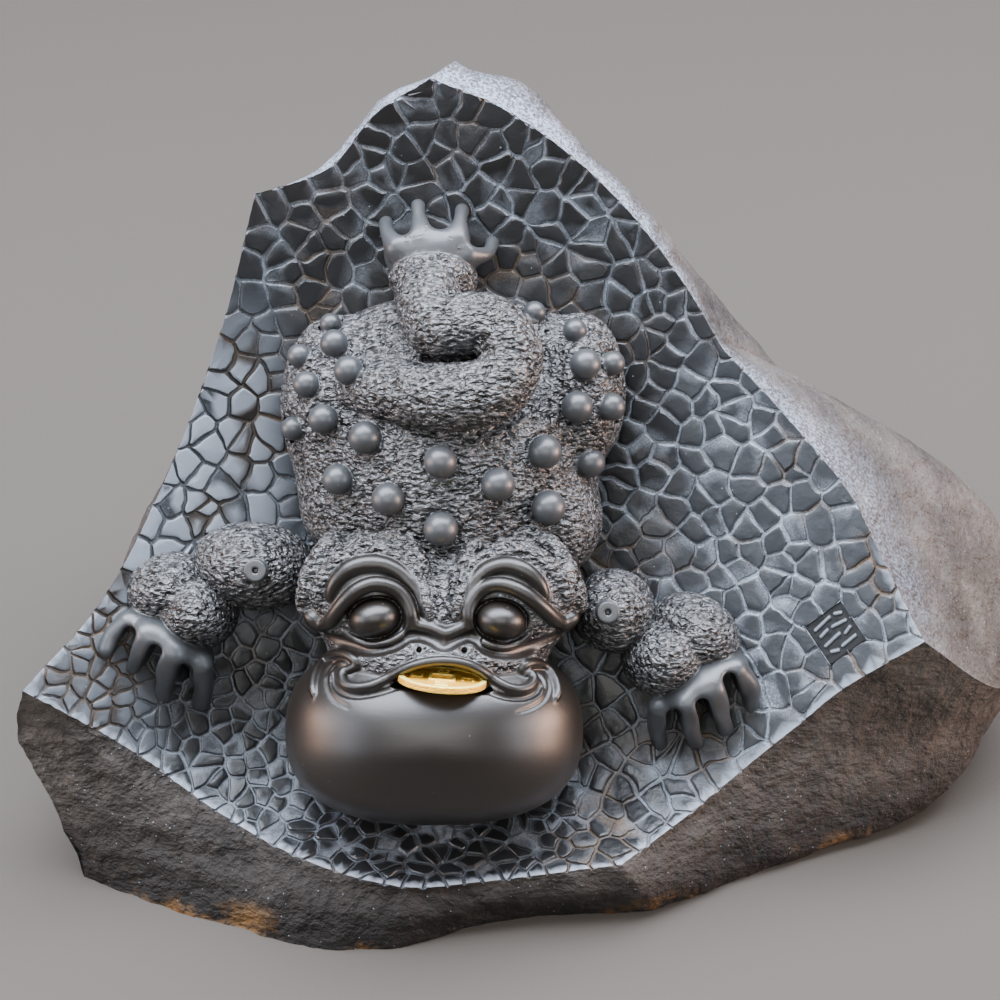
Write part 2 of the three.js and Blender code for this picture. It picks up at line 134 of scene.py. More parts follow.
def fractal(points: Array, size: float, octaves: int, seed: int, ridged: bool = False) -> Array:
    """Noise in layers, each half the size and half the strength of the one before.

    Args:
        points: places, one a row.
        size: the spacing of the largest lumps.
        octaves: how many layers.
        seed: picks one of many patterns.
        ridged: whether each layer is folded into sharp ridges.

    Returns:
        About -1 to 1 for each place.
    """
    total, strength, weight = np.zeros(len(points)), 1.0, 0.0
    for layer in range(octaves):
        wave = cloud(points, size / 2**layer, seed + layer)
        total += strength * (1 - 2 * np.abs(wave) if ridged else wave)
        weight += strength
        strength *= 0.5
    return total / weight


def through(points: Array, where: Array) -> Array:
    """A curve through points, the centripetal Catmull-Rom one that the CAD source uses.

    Args:
        points: the points in order, one a row.
        where: places along the curve, with 0 at the first point, 1 at the second and so on.

    Returns:
        One point of the curve a place.
    """
    points = np.asarray(points, float)
    ends = np.vstack([2 * points[0] - points[1], points, 2 * points[-1] - points[-2]])
    start = np.clip(np.floor(where).astype(int), 0, len(points) - 2)
    share = (where - start)[:, None]
    p = [ends[start + k] for k in range(4)]
    gap = [np.sqrt(np.maximum(np.linalg.norm(p[k + 1] - p[k], axis=1), 1e-8))[:, None] for k in range(3)]
    leave = ((p[1] - p[0]) / gap[0] - (p[2] - p[0]) / (gap[0] + gap[1]) + (p[2] - p[1]) / gap[1]) * gap[1]
    arrive = ((p[2] - p[1]) / gap[1] - (p[3] - p[1]) / (gap[1] + gap[2]) + (p[3] - p[2]) / gap[2]) * gap[1]
    square = -3 * p[1] + 3 * p[2] - 2 * leave - arrive
    cube = 2 * p[1] - 2 * p[2] + leave + arrive
    return p[1] + leave * share + square * share**2 + cube * share**3


def spaced(points: Sequence[Sequence[float]], spacing: float) -> Array:
    """A curve through points, cut at even spacing.

    Args:
        points: the points in order.
        spacing: about how far apart the cuts are, in mm.

    Returns:
        Points of the curve, one a row, with both ends.
    """
    fine = through(np.asarray(points, float), np.linspace(0, len(points) - 1, 24 * (len(points) - 1) + 1))
    run = np.concatenate([[0], np.cumsum(np.linalg.norm(np.diff(fine[:, :2], axis=0), axis=1))])
    count = max(2, int(round(run[-1] / spacing)) + 1)
    cuts = np.linspace(0, run[-1], count)
    return np.stack([np.interp(cuts, run, column) for column in fine.T], axis=1)


def spun(flat: Array, angle: float) -> Array:
    """Flat points, one a row, turned anticlockwise about the origin by an angle in radians."""
    cos, sin = math.cos(angle), math.sin(angle)
    return np.stack([flat[:, 0] * cos - flat[:, 1] * sin, flat[:, 0] * sin + flat[:, 1] * cos], axis=1)


# The carved face


@dataclass(frozen=True)
class Hollow:
    """The scoop in the stone's front, deepest behind the toad's chin. Sizes are in mm on the carved face."""

    floor: float = -30.0
    rise: float = 42.0
    power: float = 2.2
    centre: Pair = (-22.0, -62.0)
    left: float = 105.0
    right: float = 140.0
    down: float = 46.0
    up: float = 178.0

    def height(self, s: Array, t: Array) -> Array:
        """Height h of its surface at places s, t.

        Args:
            s: places across the face, in mm.
            t: places up it.

        Returns:
            h for each place.
        """
        across, along = s - self.centre[0], t - self.centre[1]
        across = across / np.where(across < 0, self.left, self.right)
        along = along / np.where(along < 0, self.down, self.up)
        return self.floor + self.rise * np.hypot(across, along) ** self.power

    def normal(self, s: Array, t: Array) -> Array:
        """Unit normals of its surface at places s, t.

        Args:
            s: places across the face, in mm.
            t: places up it.

        Returns:
            One row of s, t and h a place.
        """
        step = 0.25
        slopes = [
            (self.height(s + ds, t + dt) - self.height(s - ds, t - dt)) / (2 * step)
            for ds, dt in ((step, 0), (0, step))
        ]
        normal = np.stack([-slopes[0], -slopes[1], np.ones_like(slopes[0])], axis=-1)
        return normal / np.linalg.norm(normal, axis=-1, keepdims=True)


@dataclass
class CarvedFace:
    """The carved face's own frame: s runs right, t up the face and h out of it, towards the viewer."""

    hollow: Hollow = field(default_factory=Hollow)
    scale: Array = field(default_factory=lambda: np.ones(3))
    shift: Array = field(default_factory=lambda: np.zeros(3))

    @staticmethod
    def turned(points: Array) -> Array:
        """Turns directions from the face's frame to the block's.

        Args:
            points: directions s, t, h.

        Returns:
            The same as x, y, z.
        """
        cos, sin = math.cos(FACE_RISE), math.sin(FACE_RISE)
        s, t, h = points[..., 0], points[..., 1], points[..., 2]
        return np.stack([s, t * cos - h * sin, t * sin + h * cos], axis=-1)

    def as_drawn(self, points: Array) -> Array:
        """Points s, t, h in mm, in the block's frame before it is stretched."""
        return self.turned(points) + np.array(FACE_ORIGIN)

    def to_block(self, points: Array) -> Array:
        """Points s, t, h in mm, in the block's frame."""
        return self.as_drawn(points) * self.scale + self.shift

    def on_hollow(self, flat: Array) -> Array:
        """Points s, t as points s, t, h on the hollow's surface."""
        return np.column_stack([flat, self.hollow.height(flat[:, 0], flat[:, 1])])


@dataclass
class Unrolled:
    """The hollow laid out flat along its two middle lines, so that cobbles keep their size on its slopes."""

    hollow: Hollow
    reach: float = 180.0
    step: float = 0.5

    def __post_init__(self) -> None:
        """Measures the two middle lines."""
        self.places = np.arange(-self.reach, self.reach, self.step)
        middle_s, middle_t = self.hollow.centre
        across = self.hollow.height(self.places, np.full_like(self.places, middle_t))
        along = self.hollow.height(np.full_like(self.places, middle_s), self.places)
        self.runs = []
        for height in (across, along):
            run = np.cumsum(np.hypot(1, np.gradient(height, self.step))) * self.step
            self.runs.append(run - np.interp(0, self.places, run))

    def to_flat(self, face: Array) -> Array:
        """Points s, t as places on the laid-out hollow."""
        return np.stack([np.interp(face[:, k], self.places, self.runs[k]) for k in (0, 1)], axis=1)

    def to_face(self, flat: Array) -> Array:
        """Places on the laid-out hollow as points s, t."""
        return np.stack([np.interp(flat[:, k], self.runs[k], self.places) for k in (0, 1)], axis=1)


# Meshes


def make_piece(name: str, points: Array, faces: Sequence[Sequence[int]]) -> bpy.types.Object:
    """A smooth-shaded mesh object.

    Args:
        name: the piece's name.
        points: corners in mm in the block's frame, one a row.
        faces: corner numbers of each face.

    Returns:
        The object, in the scene.
    """
    mesh = bpy.data.meshes.new(name)
    mesh.from_pydata((points * MM).tolist(), [], [list(face) for face in faces])
    mesh.polygons.foreach_set("use_smooth", [True] * len(mesh.polygons))
    mesh.update()
    piece = bpy.data.objects.new(name, mesh)
    bpy.context.scene.collection.objects.link(piece)
    return piece


def give_numbers(piece: bpy.types.Object, name: str, values: Array) -> None:
    """Stores one number a corner of a piece, for its finish to read.

    Args:
        piece: the mesh object.
        name: what the finish calls the numbers.
        values: one number for each corner.
    """
    stored = piece.data.attributes.new(name, "FLOAT", "POINT")
    stored.data.foreach_set("value", np.asarray(values, np.float32))


def thin_out(piece: bpy.types.Object, most: int) -> None:
    """Merges the flattest faces of a piece until it has few enough.

    Args:
        piece: the mesh object.
        most: how many triangles it may have.
    """
    count = sum(len(face.vertices) - 2 for face in piece.data.polygons)
    if count <= most:
        return
    merge = piece.modifiers.new("thin_out", "DECIMATE")
    merge.ratio = most / count
    seen = piece.evaluated_get(bpy.context.evaluated_depsgraph_get())
    thinned = bpy.data.meshes.new_from_object(seen)
    piece.modifiers.remove(merge)
    piece.data = thinned


def corner_normals(points: Array, quads: Array) -> Array:
    """Unit normals at a mesh's corners.

    Args:
        points: corners, one a row.
        quads: the four corner numbers of each face.

    Returns:
        One unit vector a corner.
    """
    p = [points[quads[:, k]] for k in range(4)]
    flat = np.cross(p[2] - p[0], p[3] - p[1])
    total = np.zeros_like(points)
    for k in range(4):
        for axis in range(3):
            total[:, axis] += np.bincount(quads[:, k], flat[:, axis], len(points))
    return total / np.maximum(np.linalg.norm(total, axis=1, keepdims=True), 1e-9)


# Forms to carve with


class Form(Protocol):
    """Something a carver adds to the stone or cuts from it."""

    def box(self) -> tuple[Array, Array]:
        """Its lowest and highest corner."""

    def distance(self, s: Array, t: Array, h: Array) -> Array:
        """How far places lie outside it, below 0 inside."""


@dataclass(frozen=True)
class Lump:
    """A rounded mass: an ellipsoid, or with a higher power a squarer one when seen from the front."""

    at: Triple
    radii: Triple
    turn: float = 0.0  # degrees about h
    power: float = 2.0

    def box(self) -> tuple[Array, Array]:
        """Its lowest and highest corner."""
        half = np.array([*[max(self.radii[:2])] * 2, self.radii[2]] if self.turn else self.radii)
        return np.array(self.at) - half, np.array(self.at) + half

    def _local(self, s: Array, t: Array) -> tuple[Array, Array]:
        """Places s, t along its own two axes, in shares of its half sizes.

        Args:
            s: places across the face, in mm.
            t: places up it.

        Returns:
            The two shares of each place.
        """
        cos, sin = math.cos(math.radians(self.turn)), math.sin(math.radians(self.turn))
        ds, dt = s - self.at[0], t - self.at[1]
        return (ds * cos + dt * sin) / self.radii[0], (dt * cos - ds * sin) / self.radii[1]

    def distance(self, s: Array, t: Array, h: Array) -> Array:
        """How far places lie outside it, below 0 inside.

        Args:
            s: places across the face, in mm.
            t: places up it.
            h: places out of it.

        Returns:
            A distance for each place, in mm.
        """
        x, y = self._local(s, t)
        z = (h - self.at[2]) / self.radii[2]
        if self.power == 2.0:
            flat = x * x + y * y
        else:
            flat = (np.abs(x) ** self.power + np.abs(y) ** self.power) ** (2 / self.power)
        size = np.sqrt(flat + z * z)
        slope = np.sqrt((x / self.radii[0]) ** 2 + (y / self.radii[1]) ** 2 + (z / self.radii[2]) ** 2)
        return size * (size - 1) / np.maximum(slope, 1e-6)

    def top(self, s: Array, t: Array) -> Array:
        """Height of its upper side at places s, t, far below beside it.

        Args:
            s: places across the face, in mm.
            t: places up it.

        Returns:
            h for each place.
        """
        x, y = self._local(np.asarray(s, float), np.asarray(t, float))
        left = 1 - x * x - y * y
        return np.where(left > 0, self.at[2] + self.radii[2] * np.sqrt(np.maximum(left, 0)), -1e3)


@dataclass(frozen=True)
class Strand:
    """A round cord bent along points, whose radius changes on the way."""

    points: Array
    radii: Array

    def box(self) -> tuple[Array, Array]:
        """Its lowest and highest corner."""
        reach = self.radii[:, None]
        return (self.points - reach).min(axis=0), (self.points + reach).max(axis=0)

    def distance(self, s: Array, t: Array, h: Array) -> Array:
        """How far places lie outside it, below 0 inside.

        Args:
            s: places across the face, in mm.
            t: places up it.
            h: places out of it.

        Returns:
            A distance for each place, in mm.
        """
        nearest: Array | None = None
        for start, end, wide, narrow in zip(self.points, self.points[1:], self.radii, self.radii[1:]):
            along = end - start
            length = float(along @ along) or 1e-9
            off = [value - origin for value, origin in zip((s, t, h), start)]
            share = np.clip(sum(o * a for o, a in zip(off, along)) / length, 0, 1)
            away = np.sqrt(sum((o - share * a) ** 2 for o, a in zip(off, along)))
            gap = away - (wide + share * (narrow - wide))
            nearest = gap if nearest is None else np.minimum(nearest, gap)
        return nearest


@dataclass(frozen=True)
class Disc:
    """A flat round plate with its axis in any direction."""

    at: Triple
    axis: Triple
    radius: float
    half: float

    def box(self) -> tuple[Array, Array]:
        """Its lowest and highest corner."""
        return np.array(self.at) - self.radius - self.half, np.array(self.at) + self.radius + self.half

    def distance(self, s: Array, t: Array, h: Array) -> Array:
        """How far places lie outside it, below 0 inside.

        Args:
            s: places across the face, in mm.
            t: places up it.
            h: places out of it.

        Returns:
            A distance for each place, in mm.
        """
        ds, dt, dh = s - self.at[0], t - self.at[1], h - self.at[2]
        up = ds * self.axis[0] + dt * self.axis[1] + dh * self.axis[2]
        out = np.sqrt(np.maximum(ds * ds + dt * dt + dh * dh - up * up, 0))
        return np.maximum(out - self.radius, np.abs(up) - self.half)


@dataclass(frozen=True)
class Slot:
    """A straight-sided cut through the face, down to one height. Its outline is corners s, t in order."""

    outline: Sequence[Pair]
    low: float
    high: float

    def box(self) -> tuple[Array, Array]:
        """Its lowest and highest corner."""
        flat = np.array(self.outline)
        return np.append(flat.min(axis=0), self.low), np.append(flat.max(axis=0), self.high)

    def distance(self, s: Array, t: Array, h: Array) -> Array:
        """How far places lie outside it, below 0 inside.

        Args:
            s: places across the face, in mm.
            t: places up it.
            h: places out of it.

        Returns:
            A distance for each place, in mm.
        """
        s, t = np.broadcast_arrays(s, t)
        gap = np.full(s.shape, 1e6)
        inside = np.zeros(s.shape, bool)
        corners = np.array(self.outline)
        for (s0, t0), (s1, t1) in zip(corners, np.roll(corners, -1, axis=0)):
            length = (s1 - s0) ** 2 + (t1 - t0) ** 2
            share = np.clip(((s - s0) * (s1 - s0) + (t - t0) * (t1 - t0)) / length, 0, 1)
            gap = np.minimum(gap, np.hypot(s - s0 - share * (s1 - s0), t - t0 - share * (t1 - t0)))
            crosses = (t0 > t) != (t1 > t)
            if t0 != t1:
                inside ^= crosses & (s < s0 + (t - t0) * (s1 - s0) / (t1 - t0))
        return np.maximum(np.where(inside, -gap, gap), self.low - h)


def gap_between(top: Pair, end: Pair, radius: float) -> Slot:
    """The gap between two digits, cut straight down through the hollow.

    Args:
        top: s and t of its rounded end, in the web.
        end: s and t of its middle line's other end, in the open.
        radius: half its width, in mm.

    Returns:
        The cut.
    """
    way = np.array(end, float) - np.array(top)
    way /= np.linalg.norm(way)
    start = np.array(top) + way * radius
    side = math.atan2(way[1], way[0]) + math.pi / 2
    turns = np.linspace(0, math.pi, 9)
    ends = [(start, side + turns), (np.array(end, float), side + math.pi + turns)]
    outline = [
        (p[0] + radius * math.cos(a), p[1] + radius * math.sin(a)) for p, angles in ends for a in angles
    ]
    return Slot(outline, -40.0, 40.0)


@dataclass(frozen=True)
class Fold:
    """A ridge laid along a curve on the stone, or a groove sunk along it. Sizes are in mm."""

    radius: float
    lift: float  # of its middle line over the surface
    taper: float  # how far each end thins out
    blend: float  # how wide the rounded corner at its foot is
    skin: Skin = Skin.WAXED
    groove: bool = False
    thin_end: float = 0.35  # share of its radius that an end keeps


@dataclass
class Clay:
    """Stone being carved: how far each place of a grid is outside it, in mm, in the carved face's frame."""

    low: Triple
    high: Triple
    step: float
    air: float = 9.0
    margin: float = 2.5  # round a form and its blend, where it is still worked out
    line_step: float = 0.8  # from point to point of a fold's middle line

    def __post_init__(self) -> None:
        """Starts with nothing there."""
        self.origin = np.array(self.low, float)
        count = np.ceil((np.array(self.high) - self.origin) / self.step).astype(int) + 1
        self.field = np.full(tuple(count), self.air, np.float32)
        self.smoothed: list[tuple[Form, float, float]] = []

    def _window(self, form: Form, margin: float) -> tuple[tuple[slice, ...], tuple[Array, ...]]:
        """The part of the grid near a form.

        Args:
            form: what is added or cut.
            margin: how far round it, in mm.

        Returns:
            Spans of the grid, and its places there along s, t and h.
        """
        low, high = form.box()
        first = np.maximum(0, np.floor((low - margin - self.origin) / self.step)).astype(int)
        last = np.ceil((high + margin - self.origin) / self.step).astype(int) + 1
        spans = tuple(slice(a, max(a, b)) for a, b in zip(first, np.minimum(self.field.shape, last)))
        axes = [self.origin[k] + self.step * np.arange(span.start, span.stop) for k, span in enumerate(spans)]
        return spans, np.ix_(*(axis.astype(np.float32) for axis in axes))

    def _blend(self, form: Form, blend: float, sign: float) -> None:
        """Joins a form to what is there or takes it away, rounding the corner between them.

        Args:
            form: what is added or cut.
            blend: how wide the corner is, in mm.
            sign: 1 to add, -1 to take away.
        """
        spans, axes = self._window(form, blend + self.margin)
        if any(span.start >= span.stop for span in spans):
            return
        new, old = form.distance(*axes), sign * self.field[spans]
        if blend:
            share = np.clip(0.5 + 0.5 * (new - old) / blend, 0, 1)
            joined = new + (old - new) * share - blend * share * (1 - share)
        else:
            joined = np.minimum(new, old)
        self.field[spans] = sign * joined

    def add(self, form: Form, blend: float = 0.0, skin: Skin = Skin.CHISELLED) -> None:
        """Adds a form.

        Args:
            form: what is added.
            blend: how wide the rounded corner is where it meets the rest, in mm.
            skin: how its surface is left.
        """
        self._blend(form, blend, 1.0)
        self._remember(form, blend, skin)

    def cut(self, form: Form, blend: float = 0.0, skin: Skin = Skin.CHISELLED) -> None:
        """Cuts a form away, with the same arguments as add."""
        self._blend(form, blend, -1.0)
        self._remember(form, blend, skin)

    def _remember(self, form: Form, blend: float, skin: Skin) -> None:
        """Keeps a smooth form, and how near its surface counts as on it: further where it is blended."""
        if skin is not Skin.CHISELLED:
            self.smoothed.append((form, skin.value, 0.3 + 0.4 * blend))

    def tops(self) -> Array:
        """The heights of the uppermost surface.

        Returns:
            h over each s, t of the grid, far below where there is no stone.
        """
        solid = self.field < 0
        layers = self.field.shape[2]
        last = np.minimum(layers - 1 - np.argmax(solid[:, :, ::-1], axis=2), layers - 2)
        below = np.take_along_axis(self.field, last[..., None], 2)[..., 0]
        above = np.take_along_axis(self.field, last[..., None] + 1, 2)[..., 0]
        height = self.origin[2] + self.step * (last + below / (below - above + 1e-9))
        return np.where(solid.any(axis=2), height, -1e3)

    def height_at(self, tops: Array, s: Array | float, t: Array | float) -> Array:
        """The height over places s, t.

        Args:
            tops: the grid's heights, from tops().
            s: places across the face, in mm.
            t: places up it.

        Returns:
            h for each place.
        """
        place = (np.stack([s, t], axis=-1) - self.origin[:2]) / self.step
        cell = np.clip(np.floor(place).astype(int), 0, np.array(tops.shape) - 2)
        share = np.clip(place - cell, 0, 1)
        return sum(
            tops[cell[..., 0] + i, cell[..., 1] + j]
            * np.where(i, share[..., 0], 1 - share[..., 0])
            * np.where(j, share[..., 1], 1 - share[..., 1])
            for i, j in product((0, 1), repeat=2)
        )

    def fold(self, curve: Sequence[Pair], fold: Fold, tops: Array) -> None:
        """Adds or cuts a fold.

        Args:
            curve: points s, t of its middle line.
            fold: its sizes and finish.
            tops: the heights of the surface it lies on, from tops().
        """
        flat = spaced(curve, self.line_step)
        height = self.height_at(tops, flat[:, 0], flat[:, 1])
        for _ in range(3):
            height[1:-1] = (height[:-2] + 2 * height[1:-1] + height[2:]) / 4
        run = np.linspace(0, 1, len(flat)) * np.linalg.norm(np.diff(flat, axis=0), axis=1).sum()
        near_end = np.minimum(run, run[-1] - run)
        thin = np.ones_like(run)
        if fold.taper:
            thin = fold.thin_end + (1 - fold.thin_end) * np.sqrt(np.clip(near_end / fold.taper, 0, 1))
        radii = fold.radius * thin
        strand = Strand(np.column_stack([flat, height + fold.lift - (fold.radius - radii) * 0.5]), radii)
        (self.cut if fold.groove else self.add)(strand, fold.blend, fold.skin)

    def _sample(self, points: Array) -> Array:
        """The grid's value at any points.

        Args:
            points: places s, t, h, one a row.

        Returns:
            How far each is outside the stone.
        """
        place = (points - self.origin) / self.step
        cell = np.clip(np.floor(place).astype(int), 0, np.array(self.field.shape) - 2)
        share = place - cell
        total = np.zeros(len(points))
        for corner in product((0, 1), repeat=3):
            weight = np.prod(np.where(corner, share, 1 - share), axis=1)
            total += weight * self.field[tuple((cell + np.array(corner)).T)]
        return total

    def _settle(self, points: Array, quads: Array) -> Array:
        """Evens out a net's points and puts them back on the surface, so that polish shows no grid.

        Args:
            points: places s, t, h, one a row.
            quads: the four corner numbers of each face.

        Returns:
            The points moved.
        """
        edges = np.vstack([quads[:, [k, (k + 1) % 4]] for k in range(4)])
        count = np.maximum(np.bincount(edges[:, 0], minlength=len(points)), 1)
        half = self.step / 2
        for _ in range(2):
            mean = np.stack([
                np.bincount(edges[:, 0], points[edges[:, 1], axis], len(points)) / count for axis in range(3)
            ], axis=1)
            points = points + 0.5 * (mean - points)
            slope = np.stack([
                self._sample(points + half * unit) - self._sample(points - half * unit) for unit in np.eye(3)
            ], axis=1) / self.step
            size = np.maximum((slope**2).sum(axis=1), 0.3)
            move = -(self._sample(points) / size)[:, None] * slope
            points = points + np.clip(move, -half, half)
        return points

    def net(self) -> tuple[Array, Array]:
        """The surface as a net of four-sided faces.

        Returns:
            Corners s, t, h, and the four corner numbers of each face.
        """
        solid = self.field < 0
        around = [solid[tuple(slice(c, n - 1 + c) for c, n in zip(corner, solid.shape))]
                  for corner in product((0, 1), repeat=3)]
        active = np.logical_or.reduce(around) & ~np.logical_and.reduce(around)
        cells = np.argwhere(active)
        number = np.full(active.shape, -1, np.int64)
        number[active] = np.arange(len(cells))
        total, hits = np.zeros((len(cells), 3)), np.zeros(len(cells))
        for axis in range(3):
            unit = np.eye(3, dtype=int)[axis]
            for pair in product((0, 1), repeat=2):
                start = np.insert(np.array(pair), axis, 0)
                near = self.field[tuple((cells + start).T)]
                far = self.field[tuple((cells + start + unit).T)]
                crossed = (near < 0) != (far < 0)
                share = near[crossed] / (near[crossed] - far[crossed])
                total[crossed] += start + unit * share[:, None]
                hits += crossed
        points = self.origin + self.step * (cells + total / hits[:, None])
        quads = []
        for axis in range(3):
            unit = np.eye(3, dtype=int)
            u, v = unit[(axis + 1) % 3], unit[(axis + 2) % 3]
            near = tuple(slice(0, -1) if k == axis else slice(1, -1) for k in range(3))
            far = tuple(slice(1, None) if k == axis else slice(1, -1) for k in range(3))
            start = np.argwhere(solid[near] != solid[far]) + (1 - unit[axis])
            ring = np.stack([number[tuple((start - move).T)] for move in (0 * u, u, u + v, v)], axis=1)
            inward = ~solid[tuple(start.T)]
            ring[inward] = ring[inward][:, ::-1]
            quads.append(ring)
        joined = np.vstack(quads)
        joined = joined[(joined >= 0).all(axis=1)]
        return self._settle(points, joined), joined

    def polish(self, points: Array) -> Array:
        """How smooth the surface is at corners s, t, h: the value of its Skin.

        Args:
            points: places s, t, h, one a row.

        Returns:
            A share for each.
        """
        best = np.zeros(len(points))
        for form, smoothness, reach in self.smoothed:
            low, high = form.box()
            near = np.flatnonzero(((points > low - 1) & (points < high + 1)).all(axis=1))
            gap = np.abs(form.distance(*points[near].T))
            best[near] = np.maximum(best[near], smoothness * (1 - smooth(0.55 * reach, 1.3 * reach, gap)))
        return best


@dataclass(frozen=True)
class Stipple:
    """The tooth-chisel marks that cover whatever isn't polished."""

    mark: float = 1.35  # mm from mark to mark
    depth: float = 0.38
    lump: float = 5.0  # slow unevenness of the hand-cut surface
    lump_depth: float = 0.16

    def depths(self, points: Array) -> Array:
        """How far the surface stands out at points, in mm.

        Args:
            points: places s, t, h, one a row.

        Returns:
            A height for each.
        """
        bent = points + 0.45 * np.stack([cloud(points, 1.7, seed) for seed in (31, 32, 33)], axis=1)
        marks = fractal(bent * np.array([0.75, 1.3, 1.15]), self.mark, 1, 11, ridged=True)
        return self.depth * marks + self.lump_depth * cloud(points, self.lump, 17)


@dataclass
class ToadPart:
    """One carved part of the toad. Subclasses say what is added and cut."""

    face: CarvedFace
    finish: "ToadStone"
    name: str = "toad_part"
    low: Triple = (0.0, 0.0, 0.0)
    high: Triple = (1.0, 1.0, 1.0)
    step: float = 0.4
    buried: float = 1.8  # how far it runs on below the hollow's surface
    most: int = 190_000  # triangles
    stipple: Stipple = field(default_factory=Stipple)

    def carve(self, clay: Clay) -> None:
        """Adds and cuts this part's forms."""
        raise NotImplementedError

    def build(self) -> bpy.types.Object:
        """Carves the part, meshes it and dresses it.

        Returns:
            The piece.
        """
        clay = Clay(self.low, self.high, self.step)
        self.carve(clay)
        points, quads = clay.net()
        under = points[:, 2] < self.face.hollow.height(points[:, 0], points[:, 1]) - self.buried
        quads = quads[~under[quads].all(axis=1)]
        used = np.unique(quads)
        renumber = np.full(len(points), -1)
        renumber[used] = np.arange(len(used))
        points, quads = points[used], renumber[quads]
        polish = clay.polish(points)
        bare = 1 - np.minimum(polish / Skin.SATIN.value, 1)
        normals = corner_normals(points, quads)
        marks = self.stipple.depths(points) * bare
        points = points + normals * marks[:, None]
        piece = make_piece(self.name, self.face.to_block(points), quads)
        give_numbers(piece, "polish", polish)
        # How far down each place sits in a chisel mark, for the painted shade in its pits.
        give_numbers(piece, "pit", np.clip(0.2 - marks / self.stipple.depth, 0, 1) * bare)
        self._close(piece)
        thin_out(piece, self.most)
        piece.data.materials.append(self.finish.material())
        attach(piece, "root")
        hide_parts("stone_carving")
        return piece

    @staticmethod
    def _close(piece: bpy.types.Object) -> None:
        """Closes the underside, which lies inside the stone.

        Args:
            piece: the mesh object.
        """
        work = bmesh.new()
        work.from_mesh(piece.data)
        bmesh.ops.holes_fill(work, edges=[edge for edge in work.edges if edge.is_boundary], sides=0)
        work.to_mesh(piece.data)
        work.free()


# The toad

TRUNK = Lump((-14.5, 13, -10), (40, 41, 29))
RUMP = Lump((-12.5, 42, -11), (34, 13, 20))
HAUNCHES = (Lump((-45.4, 26, -8), (13.5, 23, 19)), Lump((22.2, 29.2, -8), (11.5, 21, 19)))
SHOULDERS = (Lump((-41.5, -1, -9), (12, 15, 17)), Lump((15.5, -5, -9), (12, 15, 17)))
SKULL = Lump((-16, -30, -6), (33, 23, 26))
FINGER_RADII = (3.2, 2.6, 2.7)  # mm at the root, half way and at the tip
TOE_RADII = (3.2, 1.9, 2.0)
FOLDS = {
    "leg_crease": Fold(2.3, 0.9, 8.0, 1.2, Skin.CHISELLED, groove=True),
    "knee_crease": Fold(3.0, -1.0, 5.0, 1.0, Skin.CHISELLED, groove=True),
    "wart_ring": Fold(0.55, 0.1, 0.0, 0.4, Skin.CHISELLED, groove=True),
    "outer_ridge": Fold(2.8, 1.0, 5.0, 1.2, Skin.CHISELLED),
    "inner_ridge": Fold(2.3, 0.1, 4.0, 1.0, Skin.CHISELLED),
    "outer_groove": Fold(1.7, 0.8, 6.0, 0.6, Skin.CHISELLED, groove=True),
    "crescent": Fold(2.4, 0.3, 10.0, 0.5),
    "crescent_groove": Fold(1.15, 1.3, 5.0, 0.3, groove=True),
    "upper_lid": Fold(1.9, 0.7, 5.0, 0.6),
    "cheek": Fold(1.75, 1.1, 4.0, 0.8, groove=True),
    "lower_lid": Fold(1.0, 0.7, 3.0, 0.4),
    "under_snout": Fold(1.7, 1.0, 2.0, 0.8, groove=True),
    "snout": Fold(1.5, 0.1, 2.0, 1.2),
    "frown": Fold(1.1, 0.5, 4.0, 0.6, Skin.CHISELLED, groove=True),
    "scroll": Fold(1.2, 0.3, 2.5, 0.5),
    "inner_scroll": Fold(0.75, 0.5, 2.0, 0.3, groove=True),
    "smile": Fold(0.7, 0.4, 4.0, 0.4, groove=True),
    "upper_lip": Fold(1.25, 0.7, 2.0, 0.5),
    "mouth_line": Fold(0.95, 0.1, 2.0, 0.2, groove=True),
}


def digit(
    hollow: Hollow, root: Pair, middle: Pair, tip: Pair, radii: Triple = FINGER_RADII, root_h: float = 0.9,
    rise: float = 1.6,
) -> Strand:
    """A finger or toe, bent down from the palm to the hollow.

    Args:
        hollow: the surface it ends on.
        root: s and t where it leaves the palm.
        middle: s and t half way.
        tip: s and t of its end.
        radii: its radius at those three places.
        root_h: height of its middle line at the root.
        rise: height of its middle line over the hollow at the tip.

    Returns:
        The digit.
    """
    end = float(hollow.height(np.array(tip[0]), np.array(tip[1]))) + rise
    half = end + (root_h - end) * 0.62
    path = spaced([(*root, root_h, radii[0]), (*middle, half, radii[1]), (*tip, end, radii[2])], 0.9)
    return Strand(path[:, :3], path[:, 3])


